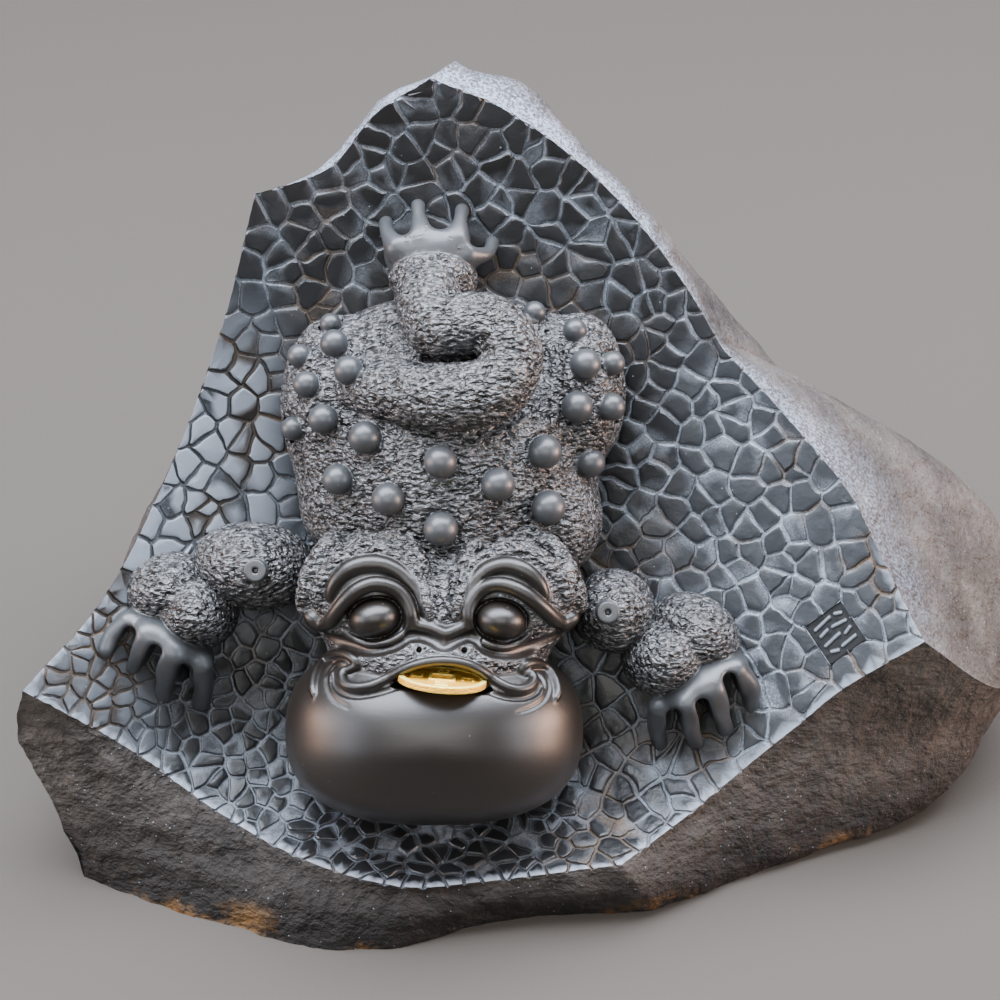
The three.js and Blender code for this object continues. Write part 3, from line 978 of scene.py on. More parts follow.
@dataclass
class ToadBody(ToadPart):
    """Trunk, haunches and shoulders with their warts, and the one hind leg curled on the back."""

    name: str = "toad_body"
    low: Triple = (-64.0, -24.0, -34.0)
    high: Triple = (38.0, 84.0, 32.0)
    step: float = 0.44
    leg: tuple[tuple[float, float, float, float], ...] = (
        (-41, 30.5, 4, 7.5), (-26, 28, 15, 8.4), (-12.2, 26.4, 20, 8.6), (-0.4, 29.4, 21, 8.4),
        (2.8, 38.2, 20, 8), (-4, 45.6, 18.5, 7.8), (-16, 45, 17.5, 8.2), (-18.8, 53, 11, 8.6),
    )
    leg_crease: Curve = (
        (-29, 21.4), (-22, 18.8), (-12.5, 17.2), (-2.6, 18.4), (4.6, 22.6), (9.4, 29), (11.4, 38),
        (8, 46.4),
    )
    knee_crease: Curve = ((-20, 36.4), (-14, 36), (-6, 37.4), (-3.4, 38.8))
    ankle: Lump = Lump((-17.8, 58.8, 1), (11.6, 8.6, 11))
    foot: Lump = Lump((-18.2, 65.6, -1), (12.8, 9.2, 9.8))
    toes: tuple[tuple[Pair, Pair, Pair], ...] = (
        ((-27.2, 67), (-30, 70.8), (-30.6, 74.2)), ((-21.4, 69.5), (-21.7, 74.4), (-22, 78.6)),
        ((-11.2, 69), (-10.7, 73.8), (-10.2, 77.4)), ((-8.6, 65), (-3.8, 65.4), (-2.2, 69)),
    )
    toe_gaps: tuple[tuple[Pair, Pair, float], ...] = (
        ((-25.5, 70.1), (-26.6, 79), 2.1), ((-15.8, 71.5), (-16.2, 82), 3.1), ((-6.2, 67), (-6, 74), 1.8),
    )
    warts: tuple[Triple, ...] = (
        (-45.2, 46.8, 2.9), (-43.8, 41.2, 3.7), (-53.2, 38, 3.2), (-39.6, 33.6, 3.8), (-51, 30.2, 3.5),
        (-46.4, 21, 3.9), (-54.8, 18.8, 3.2), (-35.2, 16, 4.3), (-42.6, 5.2, 4), (-29.2, 0, 4.3),
        (-15.4, 9.6, 4.3), (-0.4, 3.8, 4.3), (-15.4, -7.8, 4.5), (11.8, 12.4, 4.4), (24, 9.8, 4),
        (12.8, -2.2, 4.5), (20.2, 24.2, 4.2), (29.4, 24.4, 3.7), (22.4, 35.4, 4.1), (29.8, 36, 3.3),
        (19.8, 44.8, 3.2), (9.2, 50, 3.1),
    )
    wart_sink: float = 0.25  # share of the radius below the skin
    leg_step: float = 2.0
    toe_root: float = 3.8  # mm, h of a toe's middle line where it leaves the foot
    toe_rise: float = 2.4
    mass_blend: float = 5.0  # mm, as the blends below are: how wide the rounded corner between forms is
    leg_blend: float = 0.25
    toe_blend: float = 2.4
    toe_gap_blend: float = 1.2
    ankle_blend: float = 0.3

    def carve(self, clay: Clay) -> None:
        """Adds and cuts this part's forms.

        Args:
            clay: the stone being carved.
        """
        clay.add(TRUNK)
        for mass in (RUMP, *HAUNCHES, *SHOULDERS):
            clay.add(mass, self.mass_blend)
        back = clay.tops()
        clay.fold(self.leg_crease, FOLDS["leg_crease"], back)
        clay.fold(self.knee_crease, FOLDS["knee_crease"], back)
        leg = spaced(self.leg, self.leg_step)
        clay.add(Strand(leg[:, :3], leg[:, 3]), self.leg_blend)
        clay.add(self.foot, 0.0, Skin.SATIN)
        for toe in self.toes:
            strand = digit(self.face.hollow, *toe, TOE_RADII, self.toe_root, self.toe_rise)
            clay.add(strand, self.toe_blend, Skin.SATIN)
        for gap in self.toe_gaps:
            clay.cut(gap_between(*gap), self.toe_gap_blend, Skin.SATIN)
        clay.add(self.ankle, self.ankle_blend)
        tops = clay.tops()
        for s, t, radius in self.warts:
            self._add_wart(clay, tops, s, t, radius)

    def _add_wart(self, clay: Clay, tops: Array, s: float, t: float, radius: float) -> None:
        """Sets one half pearl in the skin, with a fine groove round its foot.

        Args:
            clay: the stone being carved.
            tops: heights of what is there, from tops().
            s: its middle across the face.
            t: and up it.
            radius: its radius, in mm.
        """
        middle = (s, t, clay.height_at(tops, s, t) + radius * (0.5 - self.wart_sink))
        out = radius + 0.2
        ring = [(s + out * math.cos(a), t + out * math.sin(a)) for a in np.linspace(0, 2 * math.pi, 25)]
        clay.fold(ring, FOLDS["wart_ring"], tops)
        clay.add(Lump(middle, (radius, radius, radius)), 0.0, Skin.SATIN)


@dataclass(frozen=True)
class EyeCurves:
    """The folds round one eye, from the ridge of the brow in to the lids, as points s, t."""

    outer_ridge: Curve
    outer_groove: Curve
    inner_ridge: Curve
    crescent: Curve
    crescent_groove: Curve
    upper_lid: Curve
    lower_lid: Curve
    scroll: Curve
    inner_scroll: Curve
    smile: Curve
    cheek: Curve
    corner: Pair


LEFT_EYE = EyeCurves(
    outer_ridge=(
        (-50.3, -32.3), (-50.9, -26.2), (-48.4, -17.4), (-45.4, -12.8), (-41.2, -8.9), (-35.8, -7.7),
        (-30.3, -8.5), (-25.3, -11.4), (-22, -15), (-19.6, -19.1),
    ),
    outer_groove=(
        (-44.2, -15.5), (-41.7, -12.5), (-38.4, -10.8), (-34.3, -10.7), (-30.2, -12.2), (-26.6, -14.9),
        (-23.6, -17.7),
    ),
    inner_ridge=(
        (-47.5, -28.2), (-46.7, -22.8), (-44, -18.4), (-39.9, -14.9), (-35, -13.2), (-30.6, -13.8),
        (-26.2, -16.2), (-22.7, -19.5), (-20.5, -23.3), (-18.6, -27.7), (-18.1, -30.9),
    ),
    crescent=(
        (-44.2, -25.9), (-42.7, -21.9), (-39.2, -18.3), (-34.8, -16.8), (-30.2, -17.1), (-26.1, -19.2),
        (-23, -22.4), (-20.7, -25.9), (-19.2, -30),
    ),
    crescent_groove=(
        (-44.4, -27.9), (-41.7, -24.4), (-37.9, -21.1), (-33.8, -19.7), (-29.5, -20.1), (-25.9, -22.2),
        (-22.9, -25.4), (-21.3, -29.3),
    ),
    upper_lid=(
        (-48.3, -32.9), (-45.3, -32.6), (-42.6, -29.6), (-39.6, -25.9), (-36.3, -23.1), (-32.3, -21.8),
        (-28.2, -22.6), (-25.2, -24.8), (-23.4, -28), (-22.9, -31.3), (-24.2, -34.5),
    ),
    lower_lid=(
        (-41.3, -33.8), (-38.1, -36.2), (-33.8, -37.5), (-29.4, -37.1), (-26.1, -35.6), (-23.7, -33.6),
    ),
    scroll=(
        (-36.7, -44.1), (-37.3, -42), (-39.7, -40.6), (-43.3, -40.6), (-46.5, -42.5), (-48.4, -45.5),
        (-48.9, -48.8), (-48.2, -51.5),
    ),
    inner_scroll=((-39.2, -44.4), (-39.7, -42.5), (-42.2, -41.8), (-44.6, -43.3), (-45.7, -46.1)),
    smile=((-43.2, -43.6), (-45.2, -45.9), (-44.7, -49.1), (-42.6, -51.8), (-38.8, -53.7)),
    cheek=((-46, -36.2), (-40, -37.8), (-35, -38.8), (-30.5, -38.4), (-26, -36.8), (-22.6, -34.8)),
    corner=(-47.8, -31.8),
)
RIGHT_EYE = EyeCurves(
    outer_ridge=(
        (20.2, -31.2), (20, -25.7), (17.5, -18.5), (13.7, -13), (9.3, -9.7), (4.3, -8.4), (-0.6, -8.9),
        (-5, -10.8), (-7.8, -14.1), (-10, -18.5),
    ),
    outer_groove=(
        (14.7, -16.9), (11.4, -13.6), (7.1, -11.4), (2.7, -10.8), (-1.7, -12.2), (-5, -14.4), (-7.2, -17.4),
    ),
    inner_ridge=(
        (17.7, -28.2), (16.8, -23.3), (14.1, -18.4), (9.7, -14.9), (4.8, -13.2), (0.5, -13.5),
        (-3.9, -15.7), (-7.2, -18.9), (-9.3, -22.8), (-11.2, -27.1), (-11.5, -30.9),
    ),
    crescent=(
        (11.9, -25.7), (9.7, -21.3), (5.9, -18.3), (1.6, -17.1), (-2.8, -18.3), (-6.3, -21.6),
        (-8.3, -25.4), (-9.3, -29.7),
    ),
    crescent_groove=(
        (11.9, -27.4), (8.6, -23.5), (4.8, -20.8), (0.5, -19.9), (-3.6, -21.4), (-6.6, -24.4),
        (-8.2, -28.2),
    ),
    upper_lid=(
        (19.2, -32.1), (15.6, -32.1), (11.8, -28.8), (7.8, -25.3), (3.7, -22.9), (-0.6, -21.9),
        (-4.4, -23.1), (-7.1, -25.9), (-8.2, -29.1), (-7.6, -32.4), (-6.3, -35.1),
    ),
    lower_lid=((8.4, -34.6), (4.8, -37.4), (0.5, -38.3), (-3.3, -37.4), (-6, -35.2)),
    scroll=(
        (5.4, -45.5), (5.9, -43.6), (8.6, -42.8), (11.9, -44.1), (14.3, -47.1), (15.1, -50.4),
        (14.3, -52.6),
    ),
    inner_scroll=((7.8, -45.5), (9.7, -45.5), (11.6, -47.7), (11.9, -50.4)),
    smile=((12.4, -46.4), (12.9, -49.1), (11.6, -51.8), (8.6, -53.7), (4.3, -54.8)),
    cheek=((16, -36), (9.6, -38.2), (4.4, -39.6), (0, -39.4), (-4, -37.8), (-7, -35.2)),
    corner=(17.0, -32.0),
)


@dataclass
class ToadHead(ToadPart):
    """Head and chin: folded brows, eyes, snout, lips that end in scrolls, and the seat for the coin."""

    name: str = "toad_head"
    low: Triple = (-60.0, -90.0, -34.0)
    high: Triple = (25.0, -5.0, 33.0)
    step: float = 0.38
    coin_seat: Disc | None = None
    chin: Lump = Lump((-17.6, -61.8, -2), (39.8, 25.2, 31), power=2.5)
    muzzle: Lump = Lump((-16.5, -42, 2), (29, 11, 22.5))
    brows: tuple[Lump, ...] = (
        Lump((-33.7, -24.2, 2), (18.3, 16.8, 19)), Lump((3.6, -24.6, 2), (17.8, 16.8, 19)),
    )
    eyes: tuple[Lump, ...] = (
        Lump((-32.4, -30.8, 17), (6.8, 5.1, 7), 12), Lump((0.2, -31.4, 17), (6.6, 5.1, 7), -8),
    )
    socket_margin: float = 0.8
    socket_lift: float = 2.5
    socket_room: float = 0.5
    corner_radii: Triple = (4.2, 2.7, 3.4)  # of the lump at the outer corner of an eye
    corner_depth: float = 1.2
    corner_turn: float = 28.0
    snout: Curve = (
        (-23.6, -32.4), (-20.5, -32.7), (-17.3, -33.5), (-14.1, -34.7), (-10.6, -33.5), (-7.3, -32.5),
    )
    under_snout: Curve = (
        (-24, -35.6), (-20.6, -35), (-17.4, -36), (-14.4, -37.4), (-11, -36), (-8, -35.2), (-5.4, -36.4),
    )
    frowns: tuple[Curve, ...] = (
        ((-17.7, -15.2), (-17.4, -20.6), (-17.3, -26.1), (-16.7, -31)),
        ((-12.1, -19.5), (-12.4, -24.4), (-12.1, -28.8)),
    )
    upper_lip: Curve = (
        (-37, -43.1), (-38.9, -44.1), (-41, -45.2), (-40.3, -47.6), (-37.3, -48.4), (-33.5, -48),
        (-29.2, -46.2), (-24.9, -43.8), (-20.3, -42.1), (-14.9, -41.4), (-9.5, -42.1), (-5.5, -43.8),
        (-1.7, -46.4), (2.1, -48.5), (5.1, -49.1), (7.8, -48.4), (8.8, -46.8), (7.8, -45.2), (6.4, -45.7),
    )
    mouth_line: Curve = (
        (-43.6, -45.4), (-43.2, -47.9), (-41.1, -49.8), (-37.3, -50.6), (-31.9, -49.8), (-26.5, -48.2),
        (-14.9, -45.6), (-3.3, -49.2), (2.1, -51), (6.4, -51.2), (9.6, -50), (11, -47.8),
    )
    mouth: Curve = (
        (-28.4, -48.2), (-25.8, -46), (-21.4, -43.8), (-14.5, -42.7), (-7.6, -44.2), (-3.8, -46.8),
        (-1.6, -49.3), (-3.8, -50.2), (-15, -49.8), (-26.4, -48.8),
    )
    mouth_back: float = 9.0
    brow_blend: float = 3.0  # mm, as the blends below are
    chin_blend: float = 1.2
    corner_blend: float = 1.0
    socket_blend: float = 0.4
    edge_blend: float = 0.3  # at the nostrils and the mouth
    nostrils: Curve = ((-20.8, -38.8), (-9.2, -38.9))
    nostril: Pair = (0.62, 2.6)  # radius and half depth
    nostril_depth: float = 1.0

    def carve(self, clay: Clay) -> None:
        """Adds and cuts this part's forms.

        Args:
            clay: the stone being carved.
        """
        clay.add(SKULL)
        for form in (self.muzzle, *self.brows):
            clay.add(form, self.brow_blend)
        clay.add(self.chin, self.chin_blend, Skin.WAXED)
        tops = clay.tops()
        for eye, curves in zip(self.eyes, (LEFT_EYE, RIGHT_EYE)):
            self._carve_eye(clay, tops, eye, curves)
        self._carve_snout(clay, tops)
        self._carve_mouth(clay, tops)

    @staticmethod
    def _fold(clay: Clay, tops: Array, curves: "EyeCurves | ToadHead", *names: str) -> None:
        """Lays the named folds of curves in order."""
        for name in names:
            clay.fold(getattr(curves, name), FOLDS[name], tops)

    def _carve_eye(self, clay: Clay, tops: Array, eye: Lump, curves: EyeCurves) -> None:
        """Ridges over an eye, a crescent below them, and the bulging eye in its socket between two lids.

        Args:
            clay: the stone being carved.
            tops: heights of what is there, from tops().
            eye: the eyeball.
            curves: the folds round it.
        """
        self._fold(
            clay, tops, curves,
            "outer_ridge", "inner_ridge", "outer_groove", "crescent", "crescent_groove", "upper_lid",
        )
        s, t = curves.corner
        corner = (s, t, float(clay.height_at(tops, s, t)) - self.corner_depth)
        turn = -self.corner_turn if s < self.eyes[0].at[0] else self.corner_turn
        clay.add(Lump(corner, self.corner_radii, turn), self.corner_blend, Skin.WAXED)
        self._fold(clay, tops, curves, "cheek", "lower_lid")
        across, along, out = eye.radii
        margin, lift = self.socket_margin, self.socket_lift
        sides = (across + margin, along + margin, out - lift + self.socket_room)
        clay.cut(Lump((*eye.at[:2], eye.at[2] + lift), sides, eye.turn), self.socket_blend, Skin.WAXED)
        clay.add(eye, 0.0, Skin.WAXED)

    def _carve_snout(self, clay: Clay, tops: Array) -> None:
        """The polished edge over the muzzle, the smooth hollow under it, the frown lines and the nostrils.

        Args:
            clay: the stone being carved.
            tops: heights of what is there, from tops().
        """
        self._fold(clay, tops, self, "under_snout", "snout")
        for frown in self.frowns:
            clay.fold(frown, FOLDS["frown"], tops)
        for s, t in self.nostrils:
            deep = float(clay.height_at(tops, s, t)) - self.nostril_depth
            clay.cut(Disc((s, t, deep), (0, 0, 1), *self.nostril), self.edge_blend, Skin.WAXED)

    def _carve_mouth(self, clay: Clay, tops: Array) -> None:
        """The open mouth between the lips, the scrolls at its corners, and the coin's seat.

        Args:
            clay: the stone being carved.
            tops: heights of what is there, from tops().
        """
        for curves in (LEFT_EYE, RIGHT_EYE):
            self._fold(clay, tops, curves, "scroll", "inner_scroll", "smile")
        self._fold(clay, tops, self, "upper_lip")
        clay.cut(Slot(self.mouth, self.mouth_back, self.high[2]), self.edge_blend, Skin.WAXED)
        self._fold(clay, tops, self, "mouth_line")
        if self.coin_seat:
            clay.cut(self.coin_seat, 0.0, Skin.WAXED)


@dataclass
class ToadArm(ToadPart):
    """One front leg: upper arm with its bored knob, elbow, wrist, and a polished hand with four fingers."""

    step: float = 0.36
    most: int = 110_000
    masses: tuple[Lump, ...] = ()
    palm: Lump = Lump((0, 0, 0), (1, 1, 1))
    fingers: tuple[tuple[Pair, Pair, Pair], ...] = ()
    finger_gaps: tuple[tuple[Pair, Pair], ...] = ()
    gap_radius: float = 1.9
    knob: Pair = (0.0, 0.0)
    knob_radius: float = 2.9
    knob_height: float = 2.6
    bore: float = 0.8
    bore_depth: float = 2.0
    finger_root: float = 0.9  # mm, h of a finger's middle line where it leaves the palm, at most
    root_cover: float = 0.6  # and share of its radius that the palm covers
    wrist_blend: float = 0.8  # mm, as the blends below are
    palm_blend: float = 0.5
    finger_blend: float = 2.2
    gap_blend: float = 1.4
    upper_blend: float = 0.6
    knob_blend: float = 0.5
    bore_blend: float = 0.2

    def carve(self, clay: Clay) -> None:
        """Adds and cuts this part's forms.

        Args:
            clay: the stone being carved.
        """
        upper, elbow, wrist = self.masses
        clay.add(elbow)
        clay.add(wrist, self.wrist_blend)
        clay.add(self.palm, self.palm_blend, Skin.SATIN)
        for finger in self.fingers:
            covered = float(self.palm.top(*finger[0])) - self.root_cover * FINGER_RADII[0]
            strand = digit(self.face.hollow, *finger, root_h=min(self.finger_root, covered))
            clay.add(strand, self.finger_blend, Skin.SATIN)
        for top, end in self.finger_gaps:
            clay.cut(gap_between(top, end, self.gap_radius), self.gap_blend, Skin.SATIN)
        clay.add(upper, self.upper_blend)
        s, t = self.knob
        skin = float(upper.top(s, t))
        knob = Disc((s, t, skin), (0, 0, 1), self.knob_radius, self.knob_height)
        clay.add(knob, self.knob_blend, Skin.SATIN)
        bore = Disc((s, t, skin + self.knob_height), (0, 0, 1), self.bore, self.bore_depth)
        clay.cut(bore, self.bore_blend, Skin.SATIN)


# The river stone


@dataclass(frozen=True)
class Station:
    """One place on the stone's edge: lip is on the carved face, the rest on the skin behind and below it."""

    lip: Pair
    shoulder: Triple
    belly: Triple
    foot: Pair
    corner: bool = False


STATIONS = tuple(Station(*row) for row in (
    ((-125.3, -50.3), (-141.5, -50, 47), (-134.5, -54, 26), (-127, -61), True),
    ((-107, -27.6), (-121, -9, 52), (-130, -6, 27), (-120, -10)),
    ((-90.5, 5.4), (-103, 15, 78), (-120, 35, 38), (-110, 34)),
    ((-75, 45.8), (-87, 41, 109), (-108, 62, 50), (-97, 60)),
    ((-65, 81), (-76, 55, 147), (-90, 77, 72), (-79, 76), True),
    ((-45.3, 88.5), (-57, 62, 156), (-68, 84, 78), (-58, 82)),
    ((-33, 102), (-44, 66, 171), (-50, 86, 86), (-43, 85)),
    ((-18.4, 110.7), (-22, 68, 184), (-24, 87, 90), (-20, 86), True),
    ((0, 103.5), (-3, 64, 177), (2, 87, 92), (4, 87)),
    ((20, 90.2), (11, 61, 163), (26, 85, 88), (28, 85)),
    ((37.3, 73.3), (31, 48, 148), (50, 79, 80), (50, 81)),
    ((51, 55), (42, 37, 134), (72, 71, 68), (73, 74)),
    ((59.6, 40.5), (51, 26, 120), (92, 62, 60), (93, 67), True),
    ((74.6, 24.3), (67, 20, 112), (112, 52, 56), (109, 56)),
    ((93, 1.3), (100, 13, 86), (136, 38, 48), (125, 38)),
    ((100.7, -14.6), (110, -4, 72), (140, 24, 42), (129, 22)),
    ((111.6, -37.6), (127, -30, 43), (141.5, -6, 30), (124, 0), True),
    ((91, -51.8), (110, -36, 30), (120, -34, 12), (108, -32)),
    ((78.7, -63), (88, -46, 22), (97, -46.5, 4), (92, -45)),
    ((52.3, -84.6), (48, -63, 14), (52, -65, 5), (56, -63)),
    ((32.5, -97.6), (27, -76, 13), (31, -75, 5), (31, -73), True),
    ((-5.3, -102), (-11, -80, 11), (-10, -78, 4), (-10, -77)),
    ((-26.6, -103), (-37, -84.5, 11), (-38, -86, 4), (-38, -86)),
    ((-53, -96.7), (-63, -80, 12), (-61, -85, 5), (-60, -87)),
    ((-76.8, -84.7), (-86, -67, 17), (-87, -75, 7), (-84, -79.5)),
    ((-99, -68.4), (-107, -57, 28), (-106, -64, 13), (-104, -71)),
    ((-111.7, -59.6), (-121, -54, 38), (-120, -60, 17), (-117, -66)),
))


@dataclass
class Outline:
    """Curves round the stone through its stations, broken at the corners."""

    stations: tuple[Station, ...] = STATIONS
    fine: int = 40  # places from station to station where lengths are measured

    def row(self, name: str, where: Array) -> Array:
        """Points of one row round the stone.

        Args:
            name: which of a station's points.
            where: places round the stone, with 0 at the first station, 1 at the second and so on.

        Returns:
            One point a place.
        """
        points = np.array([getattr(station, name) for station in self.stations], float)
        starts = [k for k, station in enumerate(self.stations) if station.corner]
        count = len(self.stations)
        where = np.mod(where, count)
        made = np.zeros((len(where), points.shape[1]))
        for start, end in zip(starts, [*starts[1:], starts[0] + count]):
            stretch = points[[k % count for k in range(start, end + 1)]]
            here = (where >= start) & (where < end)
            made[here] = through(stretch, where[here] - start)
        return made

    def rows(self, where: Array, face: CarvedFace) -> list[Array]:
        """Lip, shoulder, belly and foot in the block's frame as drawn, at places round the stone."""
        lip, shoulder, belly, foot = (self.row(name, where) for name in ("lip", "shoulder", "belly", "foot"))
        return [face.as_drawn(face.on_hollow(lip)), shoulder, belly, np.pad(foot, ((0, 0), (0, 1)))]

    def lip(self, spacing: float) -> tuple[Array, Array]:
        """The lip at about even spacing.

        Args:
            spacing: mm from point to point.

        Returns:
            Places round the stone, and points s, t.
        """
        count = len(self.stations)
        flat = self.row("lip", np.linspace(0, count, self.fine * count, endpoint=False))
        gaps = np.linalg.norm(np.roll(flat, -1, axis=0) - flat, axis=1)
        parts = np.maximum(1, np.round(gaps.reshape(count, self.fine).sum(axis=1) / spacing)).astype(int)
        where = np.concatenate([k + np.arange(part) / part for k, part in enumerate(parts)])
        return where, self.row("lip", where)


LIP_EDGE = -1  # the kind of a cell's edge that lies on the lip


@dataclass
class Cell:
    """One cobble: its corners on the laid-out hollow, and the number of the cobble beyond each edge."""

    corners: list[Pair]
    kinds: list[int]

    def clip(self, direction: Pair, limit: float, kind: int) -> "Cell":
        """Keeps the part on the near side of a line.

        Args:
            direction: the line's normal, pointing to the far side.
            limit: how far along the normal the line is.
            kind: the kind of the new edge.

        Returns:
            What is left.
        """
        side = [direction[0] * x + direction[1] * y - limit for x, y in self.corners]
        if max(side, default=0) <= 0:
            return self
        corners: list[Pair] = []
        kinds: list[int] = []
        for k, (here, kind_here) in enumerate(zip(self.corners, self.kinds)):
            after = (k + 1) % len(self.corners)
            a, b = side[k], side[after]
            if a <= 0:
                corners.append(here)
                kinds.append(kind_here)
            if (a <= 0) != (b <= 0):
                share = a / (a - b)
                corners.append(tuple(p + share * (q - p) for p, q in zip(here, self.corners[after])))
                kinds.append(kind if a <= 0 else kind_here)
        return Cell(corners, kinds)

    def area(self) -> float:
        """Its area.

        Returns:
            Square millimetres, below 0 if its corners run clockwise.
        """
        flat = np.array(self.corners)
        if len(flat) < 3:
            return 0.0
        after = np.roll(flat, -1, axis=0)
        return 0.5 * float((flat[:, 0] * after[:, 1] - flat[:, 1] * after[:, 0]).sum())

    def middle(self) -> Array:
        """Its centre of area.

        Returns:
            Its place on the laid-out hollow.
        """
        flat = np.array(self.corners)
        after = np.roll(flat, -1, axis=0)
        cross = flat[:, 0] * after[:, 1] - flat[:, 1] * after[:, 0]
        return ((flat + after) * cross[:, None]).sum(axis=0) / (3 * cross.sum())


@dataclass(frozen=True)
class Zone:
    """A soft-edged part of the carved face. Its spans of s and t run from where it is 0 to where it is 1."""

    strength: float
    s: Curve = ()
    t: Curve = ()

    def share(self, s: Array, t: Array) -> Array:
        """How strong it is at places s, t."""
        spans = [(span, s) for span in self.s] + [(span, t) for span in self.t]
        return self.strength * np.prod([smooth(*span, value) for span, value in spans], axis=0)


@dataclass
class RiverStone:
    """The block: a cobbled hollow in front, and the stone's own weathered skin behind, on a sawn base."""

    face: CarvedFace
    cobble_finish: "HonedSlate"
    skin_finish: "WeatheredSkin"
    low: Array
    high: Array
    pitch: float = 7.5  # mm from cobble to cobble
    jitter: float = 0.37  # share of the pitch
    most_jitter: float = 3.0
    smallest: float = 12.0  # mm2; smaller cobbles at the lip are dropped
    crumb: float = 0.5  # mm2; what is left of those is too small to cut
    crowding: Pair = (0.9, 0.6)  # how much closer cobbles lie left on the front lip, along it and across
    crowd_at: Pair = (22.0, -98.0)  # s and t of the crowded strip's right end
    crowd_slope: float = math.radians(20)
    crowd_depth: float = 24.0
    near: float = 3.4  # pitches within which cobbles can be neighbours
    near_lip: float = 2.2  # pitches from the lip within which it can cut a cobble off
    edge_step: float = 1.6
    lip_step: float = 1.5
    weld: float = 0.02
    profile: Curve = ((0.0, -1.0), (0.32, -0.92), (0.56, -0.2), (0.88, -0.02), (1.5, 0.0))  # in, up
    groove_depth: float = 0.8
    groove_widths: Pair = (0.7, 1.3)
    crown: float = 0.12
    tilt: float = 0.045  # how far a cobble's face may lean, as a slope
    unevenness: float = 0.14
    wobble: float = 0.7
    bends: Curve = ((4.6, 1.0), (2.1, 0.5))  # mm from bend to bend, and share of the wobble
    crisp: float = math.radians(26)  # edges that turn more than this catch the light as lines
    bands: tuple[int, int, int] = (14, 16, 11)  # rows of the skin from lip to shoulder, belly and foot
    lumps: Pair = (26.0, 1.7)  # mm, the split skin's lumps and how high they are
    flakes: Pair = (8.0, 0.8)  # mm, its sharp-edged flakes
    skin_in: float = 0.7  # mm that it lies back on the whole
    panel_at: Pair = (90.0, -36.0)
    panel_side: float = 12.5
    panel_turn: float = math.radians(36)
    panel_depth: float = 0.9
    panel_gap: float = 0.36  # pitches from its edge to the seeds on both sides
    seed: int = 5
    # Zones where the flats are lightened: partly handling wear, partly painted light on the outer walls.
    scuff_and_light_zones: tuple[Zone, ...] = (
        Zone(1.0, s=((-52, -70),), t=((62, 20), (-46, -20))), Zone(0.4, s=((-86, -102),), t=((62, 20),)),
        Zone(0.12, s=((34, 60),), t=((60, 25),)),
    )
    # Along the front lip the flats are lightened too: partly wear, partly painted light.
    lip_scuff_and_light: float = 1.4
    lip_band: Pair = (2.4, 1.0)  # mm from the lip where its lightening starts and where it is full
    lip_front: Pair = (-5, -30)  # t where it starts and where it is full
    free_lip: Pair = (0.5, 4.0)  # mm from the lip where the wobble starts and where it is full
    free_square: Pair = (0.2, 2.5)  # and from the bare square
    # Zones where the grooves hold less flour and look darker: partly cleaner grooves, partly painted shade.
    clean_and_shaded: tuple[Zone, ...] = (
        Zone(0.72, s=((-48, -66),), t=((-48, -20), (70, 30))), Zone(0.6, s=((45, 5),), t=((-30, -60),)),
        Zone(0.42, t=((20, 60),)), Zone(0.4, s=((-94, -58), (70, 34))),
    )

    def __post_init__(self) -> None:
        """Lays the hollow out flat and finds the lip."""
        self.unrolled = Unrolled(self.face.hollow)
        self.outline = Outline()
        self.places, lip = self.outline.lip(self.lip_step)
        self.lip = self.unrolled.to_flat(lip)
        self.panel_middle = self.unrolled.to_flat(np.array([self.panel_at]))[0]
        if Cell([tuple(p) for p in self.lip], [LIP_EDGE] * len(self.lip)).area() < 0:
            self.places, self.lip = self.places[::-1], self.lip[::-1]

    # The cobbles' plan

    def _seeds(self) -> Array:
        """A loose honeycomb of places for cobbles, with room left for the bare square.

        Returns:
            Places on the laid-out hollow.
        """
        random = np.random.default_rng(self.seed)
        low, high = self.lip.min(axis=0) - self.pitch, self.lip.max(axis=0) + self.pitch
        roomy = self._honeycomb(low, high, random)
        closer = spun(self._honeycomb(low - high, high - low, random) * self.crowding, -self.crowd_slope)
        closer += self.unrolled.to_flat(np.array([self.crowd_at]))[0]
        flat = np.vstack([roomy[~self._crowded(roomy)], closer[self._crowded(closer)]])
        room = self.panel_side / 2 + 2 * self.panel_gap * self.pitch
        return flat[np.abs(self._in_panel(flat)).max(axis=1) > room]

    def _honeycomb(self, low: Array, high: Array, random: np.random.Generator) -> Array:
        """A honeycomb between two corners, with every place pushed off it at random.

        Args:
            low: the lowest corner.
            high: the highest.
            random: where the pushes come from.

        Returns:
            The places.
        """
        rows = np.arange(low[1], high[1], self.pitch * math.sqrt(3) / 2)
        columns = np.arange(low[0], high[0], self.pitch)
        seeds = np.array([(x + self.pitch / 2 * (k % 2), y) for k, y in enumerate(rows) for x in columns])
        push = random.normal(0, self.jitter * self.pitch, seeds.shape)
        return seeds + push.clip(-self.most_jitter, self.most_jitter)

    def _crowded(self, flat: Array) -> Array:
        """Whether places on the laid-out hollow are left on the front lip, where cobbles are small."""
        offsets = self.unrolled.to_face(flat) - self.crowd_at
        return (spun(offsets, self.crowd_slope)[:, 1] < self.crowd_depth) & (offsets[:, 0] < 0)

    def _in_panel(self, flat: Array) -> Array:
        """Places on the laid-out hollow along the bare square's own sides, from its middle."""
        return spun(flat - self.panel_middle, -self.panel_turn)

    def from_panel(self, places: Array) -> Array:
        """Places along the bare square's own sides, from its middle, on the laid-out hollow."""
        return self.panel_middle + spun(places, self.panel_turn)

    def _panel_seeds(self) -> list[Array]:
        """Seeds inside and outside the bare square's edges, mirrored, so that the edges run straight.

        Returns:
            The seeds inside, and those outside.
        """
        half, gap = self.panel_side / 2, self.panel_gap * self.pitch
        return [
            self.from_panel(np.array([
                ((out, along), (-along, out), (-out, -along), (along, -out))[quarter]
                for quarter in range(4) for along in (-0.5 * half, 0.5 * half)
            ]))
            for out in (half - gap, half + gap)
        ]

